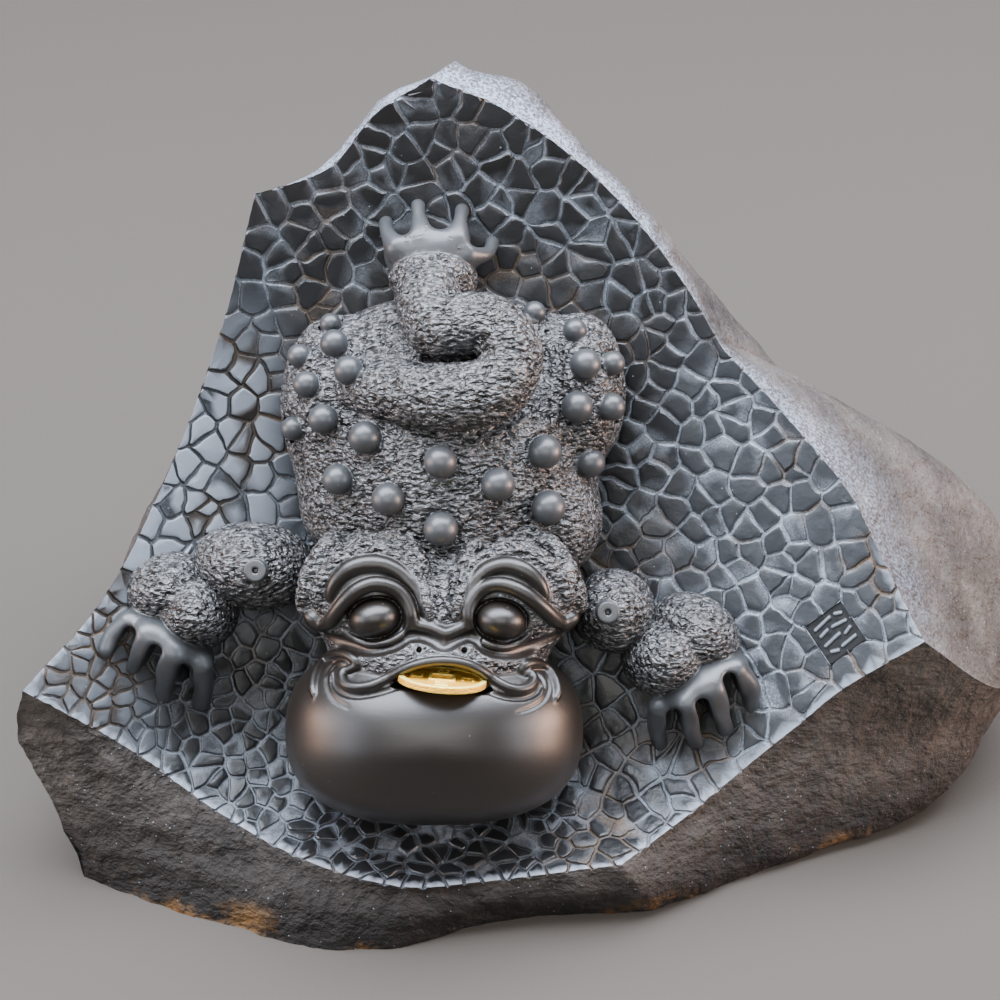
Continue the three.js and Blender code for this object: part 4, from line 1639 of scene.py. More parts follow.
    def _cells(self) -> tuple[list[Cell], set[int]]:
        """Every cobble, and which of them are parts of the bare square.

        Returns:
            The cobbles, and the numbers of the square's parts.
        """
        inner, outer = self._panel_seeds()
        loose = self._seeds()
        for _ in range(3):
            seeds = np.vstack([inner, outer, loose])
            cells = self._voronoi(seeds)
            kept = [k for k in range(len(seeds) - len(loose), len(seeds)) if cells[k].area() > self.smallest]
            if len(kept) == len(loose):
                break
            loose = seeds[kept]
        return cells, set(range(len(inner)))

    def _voronoi(self, seeds: Array) -> list[Cell]:
        """The region nearest each seed, cut off at the lip.

        Args:
            seeds: the middles of all cobbles.

        Returns:
            One region a seed.
        """
        whole = Cell([tuple(p) for p in self.lip], [LIP_EDGE] * len(self.lip))
        corners = 3 * self.pitch * np.array([(-1, -1), (1, -1), (1, 1), (-1, 1)])
        cells = []
        for k, seed in enumerate(seeds):
            start = whole
            from_lip = np.linalg.norm(self.lip - seed, axis=1).min()
            if from_lip >= self.near_lip * self.pitch and self._inside(seed):
                start = Cell([tuple(p) for p in seed + corners], [LIP_EDGE] * len(corners))
            gaps = np.linalg.norm(seeds - seed, axis=1)
            order = np.argsort(gaps)[1:]
            cells.append(self._bisected(start, seeds, k, order[gaps[order] < self.near * self.pitch]))
        return cells

    @staticmethod
    def _bisected(cell: Cell, seeds: Array, k: int, order: Array) -> Cell:
        """Cuts the region of seed k half way to each neighbour in order.

        Args:
            cell: the region.
            seeds: the middles of all cobbles.
            k: the seed's number.
            order: the neighbours' numbers.

        Returns:
            What is left of it.
        """
        for other in order:
            apart = seeds[other] - seeds[k]
            limit = 0.5 * float(seeds[other] @ seeds[other] - seeds[k] @ seeds[k])
            cell = cell.clip((float(apart[0]), float(apart[1])), limit, int(other))
            if len(cell.corners) < 3:
                break
        return cell

    def _inside(self, place: Array) -> bool:
        """Whether a place is within the lip.

        Args:
            place: a place on the laid-out hollow.

        Returns:
            Whether it is.
        """
        after = np.roll(self.lip, -1, axis=0)
        crosses = (self.lip[:, 1] > place[1]) != (after[:, 1] > place[1])
        rise = np.where(crosses, after[:, 1] - self.lip[:, 1], 1)
        at = self.lip[:, 0] + (place[1] - self.lip[:, 1]) * (after[:, 0] - self.lip[:, 0]) / rise
        return bool((crosses & (place[0] < at)).sum() % 2)

    # The cobbles' relief

    def _edge(self, cell: Cell) -> tuple[Array, list[tuple[int, int]]]:
        """A cobble's edge in short lengths.

        Args:
            cell: the cobble.

        Returns:
            Points along it, and the kinds of edge before and after each of them.
        """
        corners = np.array(cell.corners)
        flat, kinds = [], []
        for k, kind in enumerate(cell.kinds):
            start, end = corners[k], corners[(k + 1) % len(corners)]
            length = 0 if kind == LIP_EDGE else np.linalg.norm(end - start)
            count = max(1, math.ceil(length / self.edge_step - 1e-6))
            flat.extend(start + (end - start) * part / count for part in range(count))
            kinds.extend([(cell.kinds[k - 1], kind), *[(kind, kind)] * (count - 1)])
        return np.array(flat), kinds

    def _cobble(self, cell: Cell, inner: set[int], width: float, lean: Array, lift: float) -> list[Array]:
        """The relief of one cobble.

        Args:
            cell: the cobble.
            inner: the numbers of the bare square's parts, which no groove is cut beside.
            width: how wide its grooves are, as a share of the usual.
            lean: slopes of its face.
            lift: how far its face is above the others, in mm.

        Returns:
            Rings of x, y and height, from its edge to its middle.
        """
        edge, kinds = self._edge(cell)
        middle = cell.middle()
        corners = np.array(cell.corners)
        cut = [k for k, kind in enumerate(cell.kinds) if kind != LIP_EDGE and kind not in inner]
        along = (np.roll(corners, -1, axis=0) - corners)[cut]
        along /= np.maximum(np.linalg.norm(along, axis=1, keepdims=True), 1e-9)

        def gaps(points: Array) -> Array:
            """How far points are in from each grooved edge."""
            offsets = points[:, None] - corners[cut]
            return along[:, 0] * offsets[..., 1] - along[:, 1] * offsets[..., 0]

        def height(gap: Array) -> Array:
            """Height of the surface by how far in from the nearest groove it is."""
            return self.groove_depth * np.interp(gap / width, *zip(*self.profile))

        from_edge, from_middle = gaps(edge), gaps(middle[None])
        on_lip = np.array([LIP_EDGE in pair or not inner.isdisjoint(pair) for pair in kinds])
        width = max(0.3, min(0.6 * float(from_middle.min()) / self.profile[-1][0], width))
        rings = [np.column_stack([edge, height(from_edge.min(axis=1).clip(0))])]
        for level, (inset, _) in enumerate(self.profile[1:], 1):
            need = np.clip((inset * width - from_edge) / np.maximum(from_middle - from_edge, 1e-3), 0, 0.92)
            share = (need**6).sum(axis=1) ** (1 / 6)
            at_lip = level * 0.14 / np.maximum(np.linalg.norm(middle - edge, axis=1), 0.5)
            share = np.clip(np.maximum(share, np.where(on_lip, at_lip, 0)), 0.01 * level, 0.93)
            ring = edge + (middle - edge) * share[:, None]
            gap = gaps(ring).min(axis=1).clip(0)
            rest = smooth(0.1, 1.0, gap) * (lift + (ring - middle) @ lean) * np.where(on_lip, 0.3, 1)
            rings.append(np.column_stack([ring, height(gap) + rest]))
        return [*rings, np.array([[*middle, lift + self.crown]])]

    def _panel_part(self, cell: Cell, inner: set[int]) -> list[Array]:
        """Part of the bare square: level ground, sunk straight down from its edge.

        Args:
            cell: the part.
            inner: the numbers of the square's parts.

        Returns:
            Rings of x, y and height, from its edge to its middle.
        """
        edge, kinds = self._edge(cell)
        wall = np.array([not inner.issuperset(pair) for pair in kinds])
        inwards = cell.middle() - edge
        rings = [np.column_stack([edge, np.where(wall, 0.0, -self.panel_depth)])]
        for inset in (0.12, 1.2):
            share = np.where(wall, inset, 0.3 * inset) / np.linalg.norm(inwards, axis=1)
            ring = edge + inwards * np.clip(share, 0, 0.9)[:, None]
            rings.append(np.column_stack([ring, np.full(len(edge), -self.panel_depth)]))
        return [*rings, np.array([[*cell.middle(), -self.panel_depth]])]

    def _lay(self) -> tuple[Array, Array, list[list[int]]]:
        """All cobbles as one surface.

        Returns:
            Corners as x, y and height on the laid-out hollow, each one's tone, and faces.
        """
        random = np.random.default_rng(self.seed + 1)
        cells, inner = self._cells()
        corners: list[Array] = []
        tones: list[float] = []
        faces: list[list[int]] = []
        shared: dict[tuple[int, int], int] = {}

        def place(corner: Array, tone: float) -> int:
            """The number of a corner that neighbouring cobbles share.

            Args:
                corner: its x, y and height.
                tone: its cobble's tone.

            Returns:
                The number.
            """
            column, row = (math.floor(value / self.weld) for value in corner[:2])
            for right, up in product((0, -1, 1), repeat=2):
                found = shared.get((column + right, row + up))
                if found is not None and np.abs(corners[found] - corner)[:2].max() < self.weld:
                    return found
            shared[column, row] = len(corners)
            corners.append(corner)
            tones.append(tone)
            return len(corners) - 1

        for number, cell in enumerate(cells):
            if cell.area() < self.crumb:
                continue
            width = random.uniform(*self.groove_widths)
            lean, lift = random.normal(0, self.tilt, 2), random.normal(0, self.unevenness)
            tone = random.random()
            if number in inner:
                rings = self._panel_part(cell, inner)
            else:
                rings = self._cobble(cell, inner, width, lean, lift)
            outer = [place(corner, tone) for corner in rings[0]]
            for ring in rings[1:]:
                inside = [len(corners) + k % len(ring) for k in range(len(outer))]
                corners.extend(ring)
                tones.extend([tone] * len(ring))
                around = zip(outer, [*outer[1:], outer[0]], [*inside[1:], inside[0]], inside)
                faces.extend(list(dict.fromkeys(face)) for face in around)
                outer = inside
        return np.array(corners), np.array(tones), faces

    # The whole block

    def build(self) -> bpy.types.Object:
        """Cuts the cobbles, wraps the skin round the back and dresses both.

        Returns:
            The piece.
        """
        relief, tone, faces = self._lay()
        flat, levels = relief[:, :2], relief[:, 2]
        rim = self._rim(faces)
        points = self.lifted(self._wobbled(flat, rim), levels)
        skin, skin_faces = self._skin(points, flat, rim)
        everything = np.vstack([points, skin]) * self.face.scale + self.face.shift
        piece = make_piece("river_stone", np.clip(everything, self.low, self.high), faces + skin_faces)
        rows, bare = np.arange(len(skin)) // len(rim) + 1, np.zeros(len(skin))
        for name, on_cobbles, on_skin in (
            ("groove", np.clip(-levels / self.groove_depth, 0, 1), bare),
            ("tone", tone, bare),
            ("scuff", self._scuff_and_light(flat, rim), bare),
            ("flour", self._floured(flat), 1 - smooth(0, self.bands[0], rows)),
        ):
            give_numbers(piece, name, np.concatenate([on_cobbles, on_skin]))
        piece.data.materials.append(self.cobble_finish.material())
        piece.data.materials.append(self.skin_finish.material())
        piece.data.polygons.foreach_set("material_index", [0] * len(faces) + [1] * len(skin_faces))
        piece.data.set_sharp_from_angle(angle=self.crisp)
        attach(piece, "root")
        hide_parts("stone_carving")
        return piece

    def _scuff_and_light(self, flat: Array, rim: list[int]) -> Array:
        """How much the cobbles are lightened, by wear and painted light: most on the left wall and along the
        front lip.

        Args:
            flat: places on the laid-out hollow.
            rim: which of them are the corners along the lip.

        Returns:
            A share for each place.
        """
        s, t = self.unrolled.to_face(flat).T
        on_lip = self.lip_scuff_and_light * smooth(*self.lip_band, self._to_lip(flat, rim))
        on_lip = on_lip * smooth(*self.lip_front, t)
        return np.maximum.reduce([on_lip, *(zone.share(s, t) for zone in self.scuff_and_light_zones)])

    def _floured(self, flat: Array) -> Array:
        """How full of stone flour the grooves are on the laid-out hollow; its emptier zones are partly
        painted shade.
        """
        s, t = self.unrolled.to_face(flat).T
        return 1 - np.maximum.reduce([zone.share(s, t) for zone in self.clean_and_shaded])

    @staticmethod
    def _to_lip(flat: Array, rim: list[int]) -> Array:
        """How far places on the laid-out hollow are from the lip, in mm.

        Args:
            flat: places on the laid-out hollow.
            rim: which of them are the corners along the lip.

        Returns:
            A distance for each place.
        """
        nearest = np.full(len(flat), 1e9)
        for corner in flat[rim[::2]]:
            nearest = np.minimum(nearest, ((flat - corner) ** 2).sum(axis=1))
        return np.sqrt(nearest)

    def lifted(self, flat: Array, levels: Array) -> Array:
        """Raises places on the laid-out hollow over it, in the block's frame as drawn.

        Args:
            flat: places on the laid-out hollow.
            levels: heights over the hollow's surface, in mm.

        Returns:
            One point a place.
        """
        on_face = self.unrolled.to_face(flat)
        normals = self.face.hollow.normal(on_face[:, 0], on_face[:, 1])
        return self.face.as_drawn(self.face.on_hollow(on_face) + normals * levels[:, None])

    def _wobbled(self, flat: Array, rim: list[int]) -> Array:
        """Bends the cobbles' straight edges as a hand-held tool does, but not the lip or the bare square.

        Args:
            flat: places on the laid-out hollow.
            rim: which of them are the corners along the lip.

        Returns:
            The places moved.
        """
        deep = np.column_stack([flat, np.zeros(len(flat))])
        bend = np.stack([
            sum(share * cloud(deep, size, seed + 2 * k) for k, (size, share) in enumerate(self.bends))
            for seed in (51, 52)
        ], axis=1)
        to_square = np.abs(self._in_panel(flat)).max(axis=1) - self.panel_side / 2
        free = smooth(*self.free_lip, self._to_lip(flat, rim)) * smooth(*self.free_square, to_square)
        return flat + self.wobble * bend * free[:, None]

    @staticmethod
    def _rim(faces: list[list[int]]) -> list[int]:
        """The corners along the lip, in order.

        Args:
            faces: corner numbers of each cobble's faces.

        Returns:
            Their numbers.
        """
        edges = {(face[k], face[(k + 1) % len(face)]) for face in faces for k in range(len(face))}
        after = {start: end for start, end in edges if (end, start) not in edges}
        loops = []
        left = set(after)
        while left:
            loop = [left.pop()]
            while after.get(loop[-1]) in left:
                loop.append(after[loop[-1]])
                left.discard(loop[-1])
            loops.append(loop)
        return max(loops, key=len)

    def _skin(self, points: Array, flat: Array, rim: list[int]) -> tuple[Array, list[list[int]]]:
        """The weathered skin from the lip down to the base.

        Args:
            points: the cobbled surface's corners as drawn.
            flat: the same on the laid-out hollow.
            rim: the corners along the lip, in order.

        Returns:
            The skin's own corners as drawn, and faces that number on from the cobbles' corners.
        """
        rows = np.stack(self.outline.rows(self._where(flat[rim]), self.face))
        steps = (k + np.arange(1, count + 1) / count for k, count in enumerate(self.bands))
        levels = np.concatenate([[0.0], *steps])
        count = np.arange(len(levels))
        grid = np.stack([through(rows[:, k], levels) for k in range(len(rim))], axis=1)
        grid += (points[rim] - rows[0]) * np.clip(1 - count / 2, 0, 1)[:, None, None]
        normal = np.cross(np.gradient(grid, axis=0), np.roll(grid, -1, axis=1) - np.roll(grid, 1, axis=1))
        normal /= np.maximum(np.linalg.norm(normal, axis=2, keepdims=True), 1e-9)
        normal *= np.sign((normal * (grid - grid.mean(axis=(0, 1)))).sum())
        every = grid.reshape(-1, 3)
        (lump, lump_height), (flake, flake_height) = self.lumps, self.flakes
        bumps = lump_height * fractal(every, lump, 3, 71)
        bumps += flake_height * fractal(every, flake, 3, 81, ridged=True)
        bumps -= self.skin_in
        grid += normal * (bumps.reshape(grid.shape[:2]) * smooth(0, 3, count)[:, None])[..., None]
        grid[-1, :, 2] = 0.0
        grid[:-1, :, 2] = np.maximum(grid[:-1, :, 2], 0.3)
        corners = np.vstack([grid[1:].reshape(-1, 3), np.zeros(3)])
        numbers = np.vstack([rim, len(points) + np.arange(len(corners) - 1).reshape(-1, len(rim))])
        after = np.roll(numbers, -1, axis=1)
        faces = np.stack([after[:-1], numbers[:-1], numbers[1:], after[1:]], axis=2).reshape(-1, 4).tolist()
        under = len(points) + len(corners) - 1
        return corners, faces + [[*pair, under] for pair in zip(after[-1].tolist(), numbers[-1].tolist())]

    def _where(self, flat: Array) -> Array:
        """Places round the stone of points on the lip.

        Args:
            flat: places on the laid-out hollow.

        Returns:
            Places with 0 at the first station, 1 at the second and so on.
        """
        along = np.roll(self.lip, -1, axis=0) - self.lip
        share = ((flat[:, None] - self.lip) * along).sum(axis=2) / (along**2).sum(axis=1)
        share = np.clip(share, 0, 1)
        gap = np.linalg.norm(self.lip + along * share[..., None] - flat[:, None], axis=2)
        best = gap.argmin(axis=1)
        start, end = self.places[best], np.roll(self.places, -1)[best]
        count = len(self.outline.stations)
        turn = (end - start + count / 2) % count - count / 2
        return (start + share[np.arange(len(flat)), best] * turn) % count


@dataclass
class SealTile:
    """The floor of the bare square, with plain strokes in place of an inscription."""

    stone: RiverStone
    finish: "HonedSlate"
    top: float = -0.6  # mm from the hollow's surface
    bottom: float = -1.3
    gap: float = 0.06
    stroke_radius: float = 0.52
    step: float = 0.16
    stroke_step: float = 0.8
    blend: float = 0.15
    roughness: Pair = (1.1, 0.05)  # mm from bump to bump, and how high they are
    strokes: tuple[Curve, ...] = (
        ((-4.2, 3.8), (0.9, 4.5)), ((2.8, 4.4), (4.3, 3.7)), ((-3.9, 1.5), (-1.6, 2.0)),
        ((0.3, 1.9), (4.2, 1.3)), ((-4.3, -1.3), (0.6, -0.7)), ((2.3, -1.5), (4.2, -0.9)),
        ((-3.8, -3.5), (-2.1, -4.2)), ((-0.3, -3.9), (4.1, -3.6)),
    )

    def build(self) -> bpy.types.Object:
        """Cuts the tile and lays it in the square.

        Returns:
            The piece.
        """
        half = self.stone.panel_side / 2 - self.gap
        edge = half + 2 * self.step
        clay = Clay((-edge, -edge, self.bottom - 0.4), (edge, edge, 0.6), self.step)
        middle = (self.top + self.bottom) / 2
        clay.add(Slab(half, middle - self.bottom, middle))
        for stroke in self.strokes:
            path = spaced([(*point, self.top) for point in stroke], self.stroke_step)
            clay.add(Strand(path, np.full(len(path), self.stroke_radius)), self.blend)
        points, quads = clay.net()
        size, height = self.roughness
        points[:, 2] += height * cloud(points, size, 91) * (points[:, 2] > middle)
        drawn = self.stone.lifted(self.stone.from_panel(points[:, :2]), points[:, 2])
        face = self.stone.face
        piece = make_piece("seal_tile", drawn * face.scale + face.shift, quads)
        rise = smooth(self.top, self.top + 0.4, points[:, 2])
        # The sunk ground takes some groove-wall colour as painted shade; the raised strokes go light, partly
        # wear and partly painted light.
        for name, values in (("groove", 0.12 * (1 - rise)), ("tone", 0 * rise + 0.4), ("scuff", 0.8 * rise)):
            give_numbers(piece, name, values)
        piece.data.materials.append(self.finish.material())
        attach(piece, "root")
        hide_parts("stone_carving")
        return piece


@dataclass(frozen=True)
class Slab:
    """A square slab lying flat, with its middle at height h."""

    half_side: float
    half: float
    h: float = 0.0

    def box(self) -> tuple[Array, Array]:
        """Its lowest and highest corner."""
        corner, lift = np.array([self.half_side, self.half_side, self.half]), np.array([0, 0, self.h])
        return lift - corner, lift + corner

    def distance(self, s: Array, t: Array, h: Array) -> Array:
        """How far places lie outside it, below 0 inside."""
        side = np.maximum(np.abs(s), np.abs(t)) - self.half_side
        return np.maximum(side, np.abs(h - self.h) - self.half)


# The coin


@dataclass
class MouthCoin:
    """A cast coin with a raised rim, a square hole and plain strokes, lying on the toad's lip."""

    face: CarvedFace
    finish: "GiltBrass"
    diameter: float = 23.0
    thickness: float = 1.9
    rim_width: float = 1.5
    rim_height: float = 0.42
    hole: float = 5.2
    border: float = 0.8
    clearance: float = 0.3
    on_lip: Pair = (-14.9, -46.6)
    mouth_back: float = 9.0
    droop: float = math.radians(9)
    roll: float = math.radians(-5)
    step: float = 0.19
    margin: float = 0.6
    stroke_radii: Pair = (0.34, 0.3)  # mm at its start and end
    blend: float = 0.15
    hole_blend: float = 0.2
    wear: Pair = (2.4, 0.03)  # mm from dent to dent, and how deep they are

    def at(self) -> Triple:
        """Its middle on the carved face."""
        deep = self.mouth_back + self.clearance + (self.diameter + self.thickness * math.sin(self.droop)) / 2
        return (*self.on_lip, deep)

    def turn(self) -> Matrix:
        """How it is turned in the carved face's frame."""
        return Matrix.Rotation(self.roll, 3, "Z") @ Matrix.Rotation(self.droop - math.pi / 2, 3, "X")

    def seat(self) -> Disc:
        """The room that the head leaves for it."""
        axis = tuple(self.turn() @ Vector((0, 0, 1)))
        return Disc(self.at(), axis, *(size / 2 + self.clearance for size in (self.diameter, self.thickness)))

    def build(self) -> bpy.types.Object:
        """Casts the coin and lays it in the mouth.

        Returns:
            The piece.
        """
        half, radius = self.thickness / 2, self.diameter / 2
        field_half = half - self.rim_height
        reach, high = radius + self.margin, half + self.margin
        clay = Clay((-reach, -reach, -high), (reach, reach, high), self.step)
        clay.add(CoinBlank(radius, half, field_half, self.rim_width))
        clay.add(Slab(self.hole / 2 + self.border, half), self.blend)
        self._stroke(clay, field_half)
        clay.cut(Slab(self.hole / 2, self.thickness), self.hole_blend)
        points, quads = clay.net()
        size, depth = self.wear
        wear = fractal(points, size, 3, 41) * depth
        points = points + corner_normals(points, quads) * wear[:, None]
        raised = smooth(field_half - 0.05, half - 0.05, np.abs(points[:, 2]))
        turn = np.array(self.turn())
        centre = self.face.to_block(np.array([self.at()]))
        piece = make_piece("coin_cast", self.face.turned(points @ turn.T) + centre, quads)
        give_numbers(piece, "raised", raised)
        piece.data.materials.append(self.finish.material())
        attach(piece, "root")
        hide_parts("coin")
        return piece

    def _stroke(self, clay: Clay, field_half: float) -> None:
        """Plain raised strokes on each side of the hole, on both faces.

        Args:
            clay: the coin being cast.
            field_half: half its thickness inside the rim, in mm.
        """
        out = (self.hole / 2 + self.border + self.diameter / 2 - self.rim_width) / 2
        marks = (
            ((-1.4, -1.5), (-1.4, 1.5)), ((-1.4, 1.2), (1.4, 1.2)), ((1.3, -1.5), (1.3, 1.5)),
            ((-1.4, -0.2), (1.3, -0.2)),
        )
        for quarter in range(4):
            cos, sin = round(math.cos(quarter * math.pi / 2)), round(math.sin(quarter * math.pi / 2))
            for start, end in marks[: 4 if quarter % 2 else 3]:
                for side in (-1, 1):
                    path = np.array([
                        ((out + x) * cos - y * sin, (out + x) * sin + y * cos, side * field_half)
                        for x, y in (start, end)
                    ])
                    clay.add(Strand(path, np.array(self.stroke_radii)), self.blend)


@dataclass(frozen=True)
class CoinBlank:
    """A round blank with a raised rim."""

    radius: float
    half: float
    field_half: float
    rim: float
    soft: float = 0.35  # the worn corner of the rim
    slope: Pair = (-0.25, 0.2)  # mm out from the rim's inner side where it rises

    def box(self) -> tuple[Array, Array]:
        """Its lowest and highest corner."""
        corner = np.array([self.radius, self.radius, self.half])
        return -corner, corner

    def distance(self, s: Array, t: Array, h: Array) -> Array:
        """How far places lie outside it, below 0 inside.

        Args:
            s: places across the face, in mm.
            t: places up it.
            h: places out of it.

        Returns:
            A distance for each place, in mm.
        """
        out = np.hypot(s, t)
        low, high = (-self.rim + place for place in self.slope)
        thick = self.field_half + (self.half - self.field_half) * smooth(low, high, out - self.radius)
        side, top = out - self.radius + self.soft, np.abs(h) - thick + self.soft
        corner = np.sqrt(np.maximum(side, 0) ** 2 + np.maximum(top, 0) ** 2)
        return np.minimum(np.maximum(side, top), 0) + corner - self.soft


# Finishes

Input = float | str | tuple[float, ...] | bpy.types.NodeSocket
Inputs = dict[str | int, Input]
Nodes = Callable[..., bpy.types.NodeSocket]


def linear(colour: str) -> tuple[float, float, float, float]:
    """A colour as shaders want it.

    Args:
        colour: sRGB as six hex digits.

    Returns:
        Linear red, green, blue, and 1.
    """
    parts = [int(colour[k: k + 2], 16) / 255 for k in (0, 2, 4)]
    return (*(p / 12.92 if p <= 0.04045 else ((p + 0.055) / 1.055) ** 2.4 for p in parts), 1.0)


def add_node(
    tree: bpy.types.NodeTree, kind: str, inputs: Inputs | Sequence[Input] = (),
    stops: Sequence[tuple[float, str]] = (), out: str | int = 0, **settings: object,
) -> bpy.types.NodeSocket | None:
    """Adds a node with its settings and links.

    Args:
        tree: where it goes.
        kind: the node's type, without its ShaderNode prefix.
        inputs: what each input takes, by name or number or in order: a number, a hex colour or an output.
        stops: for a colour ramp, places and hex colours.
        out: which of its outputs is wanted, by name or number.
        settings: the node's own settings.

    Returns:
        That output, or nothing for a node that has none.
    """
    made = tree.nodes.new("ShaderNode" + kind)
    for name, value in settings.items():
        setattr(made, name, value)
    for name, value in inputs.items() if isinstance(inputs, dict) else enumerate(inputs):
        if isinstance(value, bpy.types.NodeSocket):
            tree.links.new(value, made.inputs[name])
        else:
            made.inputs[name].default_value = linear(value) if isinstance(value, str) else value
    for k, (place, colour) in enumerate(stops):
        stop = made.color_ramp.elements[k] if k < 2 else made.color_ramp.elements.new(place)
        stop.position, stop.color = place, linear(colour)
    return made.outputs[out] if made.outputs else None


def per_mm(size: float) -> float:
    """The scale of a pattern with one feature every size mm, over coordinates in metres."""
    return 1 / (size * MM)


class Finish:
    """How a surface was made. Subclasses name their material and add its nodes.

    A MapRange's inputs in order are the value, from min, from max, to min and to max.
    """

    NAME: ClassVar[str]

    def surface(self, node: Nodes) -> Inputs:
        """Adds the finish's nodes, and gives the shader's inputs."""
        raise NotImplementedError

    def material(self) -> bpy.types.Material:
        """Makes the material, or finds it if it is made.

        Returns:
            The material.
        """
        material = bpy.data.materials.get(self.NAME)
        if not material:
            material = bpy.data.materials.new(self.NAME)
            material.use_nodes = True
            material.node_tree.nodes.clear()
            node = partial(add_node, material.node_tree)
            node("OutputMaterial", {"Surface": node("BsdfPrincipled", self.surface(node))})
        return material


@dataclass(frozen=True)
class HonedSlate(Finish):
    """Dark slate, chiselled and honed flat: dull silky cobbles, flour on up-facing edges, painted light and
    shade.
    """

    NAME: ClassVar[str] = "honed_slate"
    face_dark: str = "0f0f0f"
    face_light: str = "202123"
    dust_and_light: str = "949ba5"  # stone flour, thick in the grooves; on scuffed flats and up-facing sides partly painted light
    rust: str = "6f5f50"  # where iron in the stone has stained it
    # painted shade: the grooves' sides are drawn near black
    wall: str = "0c0c0d"
    film_and_light: float = 0.66  # how much flour colour a scuffed flat takes: partly wear, partly painted light
    down_side_dust_and_shade: float = 0.3  # and on a groove's side that faces down, which stays darker: less flour, and painted shade
    roughness: float = 0.4
    dusty_roughness: float = 0.8
    ior: float = 1.55
    cloud_size: float = 26.0  # mm
    grain: float = 0.5  # mm, the honing grit, drawn coarser than it is so that it shows
    smear: float = 6.0  # mm
    speck: float = 4.0  # mm from one speck of flour to the next

    def surface(self, node: Nodes) -> Inputs:
        """Adds the finish's nodes, and gives the shader's inputs.

        Args:
            node: adds a node to the material.

        Returns:
            What the shader's inputs take.
        """
        place = node("TexCoord", out="Object")
        groove, tone, flour, scuff = (
            node("Attribute", out="Fac", attribute_name=name) for name in ("groove", "tone", "flour", "scuff")
        )
        clouds, grit, smear = (
            node("TexNoise", {"Vector": place, "Scale": per_mm(size), "Detail": detail})
            for size, detail in ((self.cloud_size, 3.0), (self.grain, 2.0), (self.smear, 3.0))
        )
        patch = node("MapRange", (clouds, 0.35, 0.65))
        shade = node("Math", (tone, patch), operation="ADD")
        shade = node("Math", (shade, 0.5), operation="MULTIPLY", use_clamp=True)
        # Painted shade: the grooves' sides take the near-black wall colour.
        wall = node("ValToRGB", {"Fac": groove}, (
            (0.03, "000000"), (0.2, "ffffff"), (0.8, "ffffff"), (0.93, "000000"),
        ))
        # Up-facing sides take more flour than down-facing ones: partly settled flour, partly painted light
        # from above.
        facing = node("SeparateXYZ", {"Vector": node("NewGeometry", out="Normal")}, out="Z")
        up_facing_dust_and_light = node("MapRange", (facing, 0.35, 0.9, self.down_side_dust_and_shade))
        loose = node("MapRange", (groove, 0.8, 0.96, up_facing_dust_and_light, 0.9))
        patchy = node("Math", (smear, grit), operation="ADD")
        filled = node("MapRange", (patchy, 0.8, 1.2, 0.4, 1.3))
        for share in (loose, flour):
            filled = node("Math", (filled, share), operation="MULTIPLY")
        # Flats lightened by the zones above: partly handling wear, partly painted light.
        film_and_light = node("Math", (scuff, self.film_and_light), operation="MULTIPLY")
        sunk = node("MapRange", (groove, 0.04, 0.3))
        dust_and_light_amount = node("MapRange", (sunk, 0.0, 1.0, film_and_light, filled))
        stained = node("MapRange", (clouds, 0.48, 0.62))
        stained = node("Math", (stained, sunk), operation="MULTIPLY")
        powder = node("Mix", {"Factor": stained, 6: self.dust_and_light, 7: self.rust}, out=2, data_type="RGBA")
        specks = node("TexVoronoi", {"Vector": place, "Scale": per_mm(self.speck)})
        speck = node("MapRange", (specks, 0.06, 0.03, 0.0, 0.7))
        colour: Input = self.face_dark
        for share, over in ((shade, self.face_light), (wall, self.wall), (dust_and_light_amount, powder), (speck, self.dust_and_light)):
            colour = node("Mix", {"Factor": share, 6: colour, 7: over}, out=2, data_type="RGBA")
        rough = node("MapRange", (dust_and_light_amount, 0.0, 1.0, self.roughness, self.dusty_roughness))
        bump = node("Bump", {"Height": grit, "Distance": 0.08 * MM, "Strength": 0.6})
        bump = node("Bump", {"Height": smear, "Distance": 1.2 * MM, "Strength": filled, "Normal": bump})
        return {"Base Color": colour, "Roughness": rough, "IOR": self.ior, "Normal": bump}


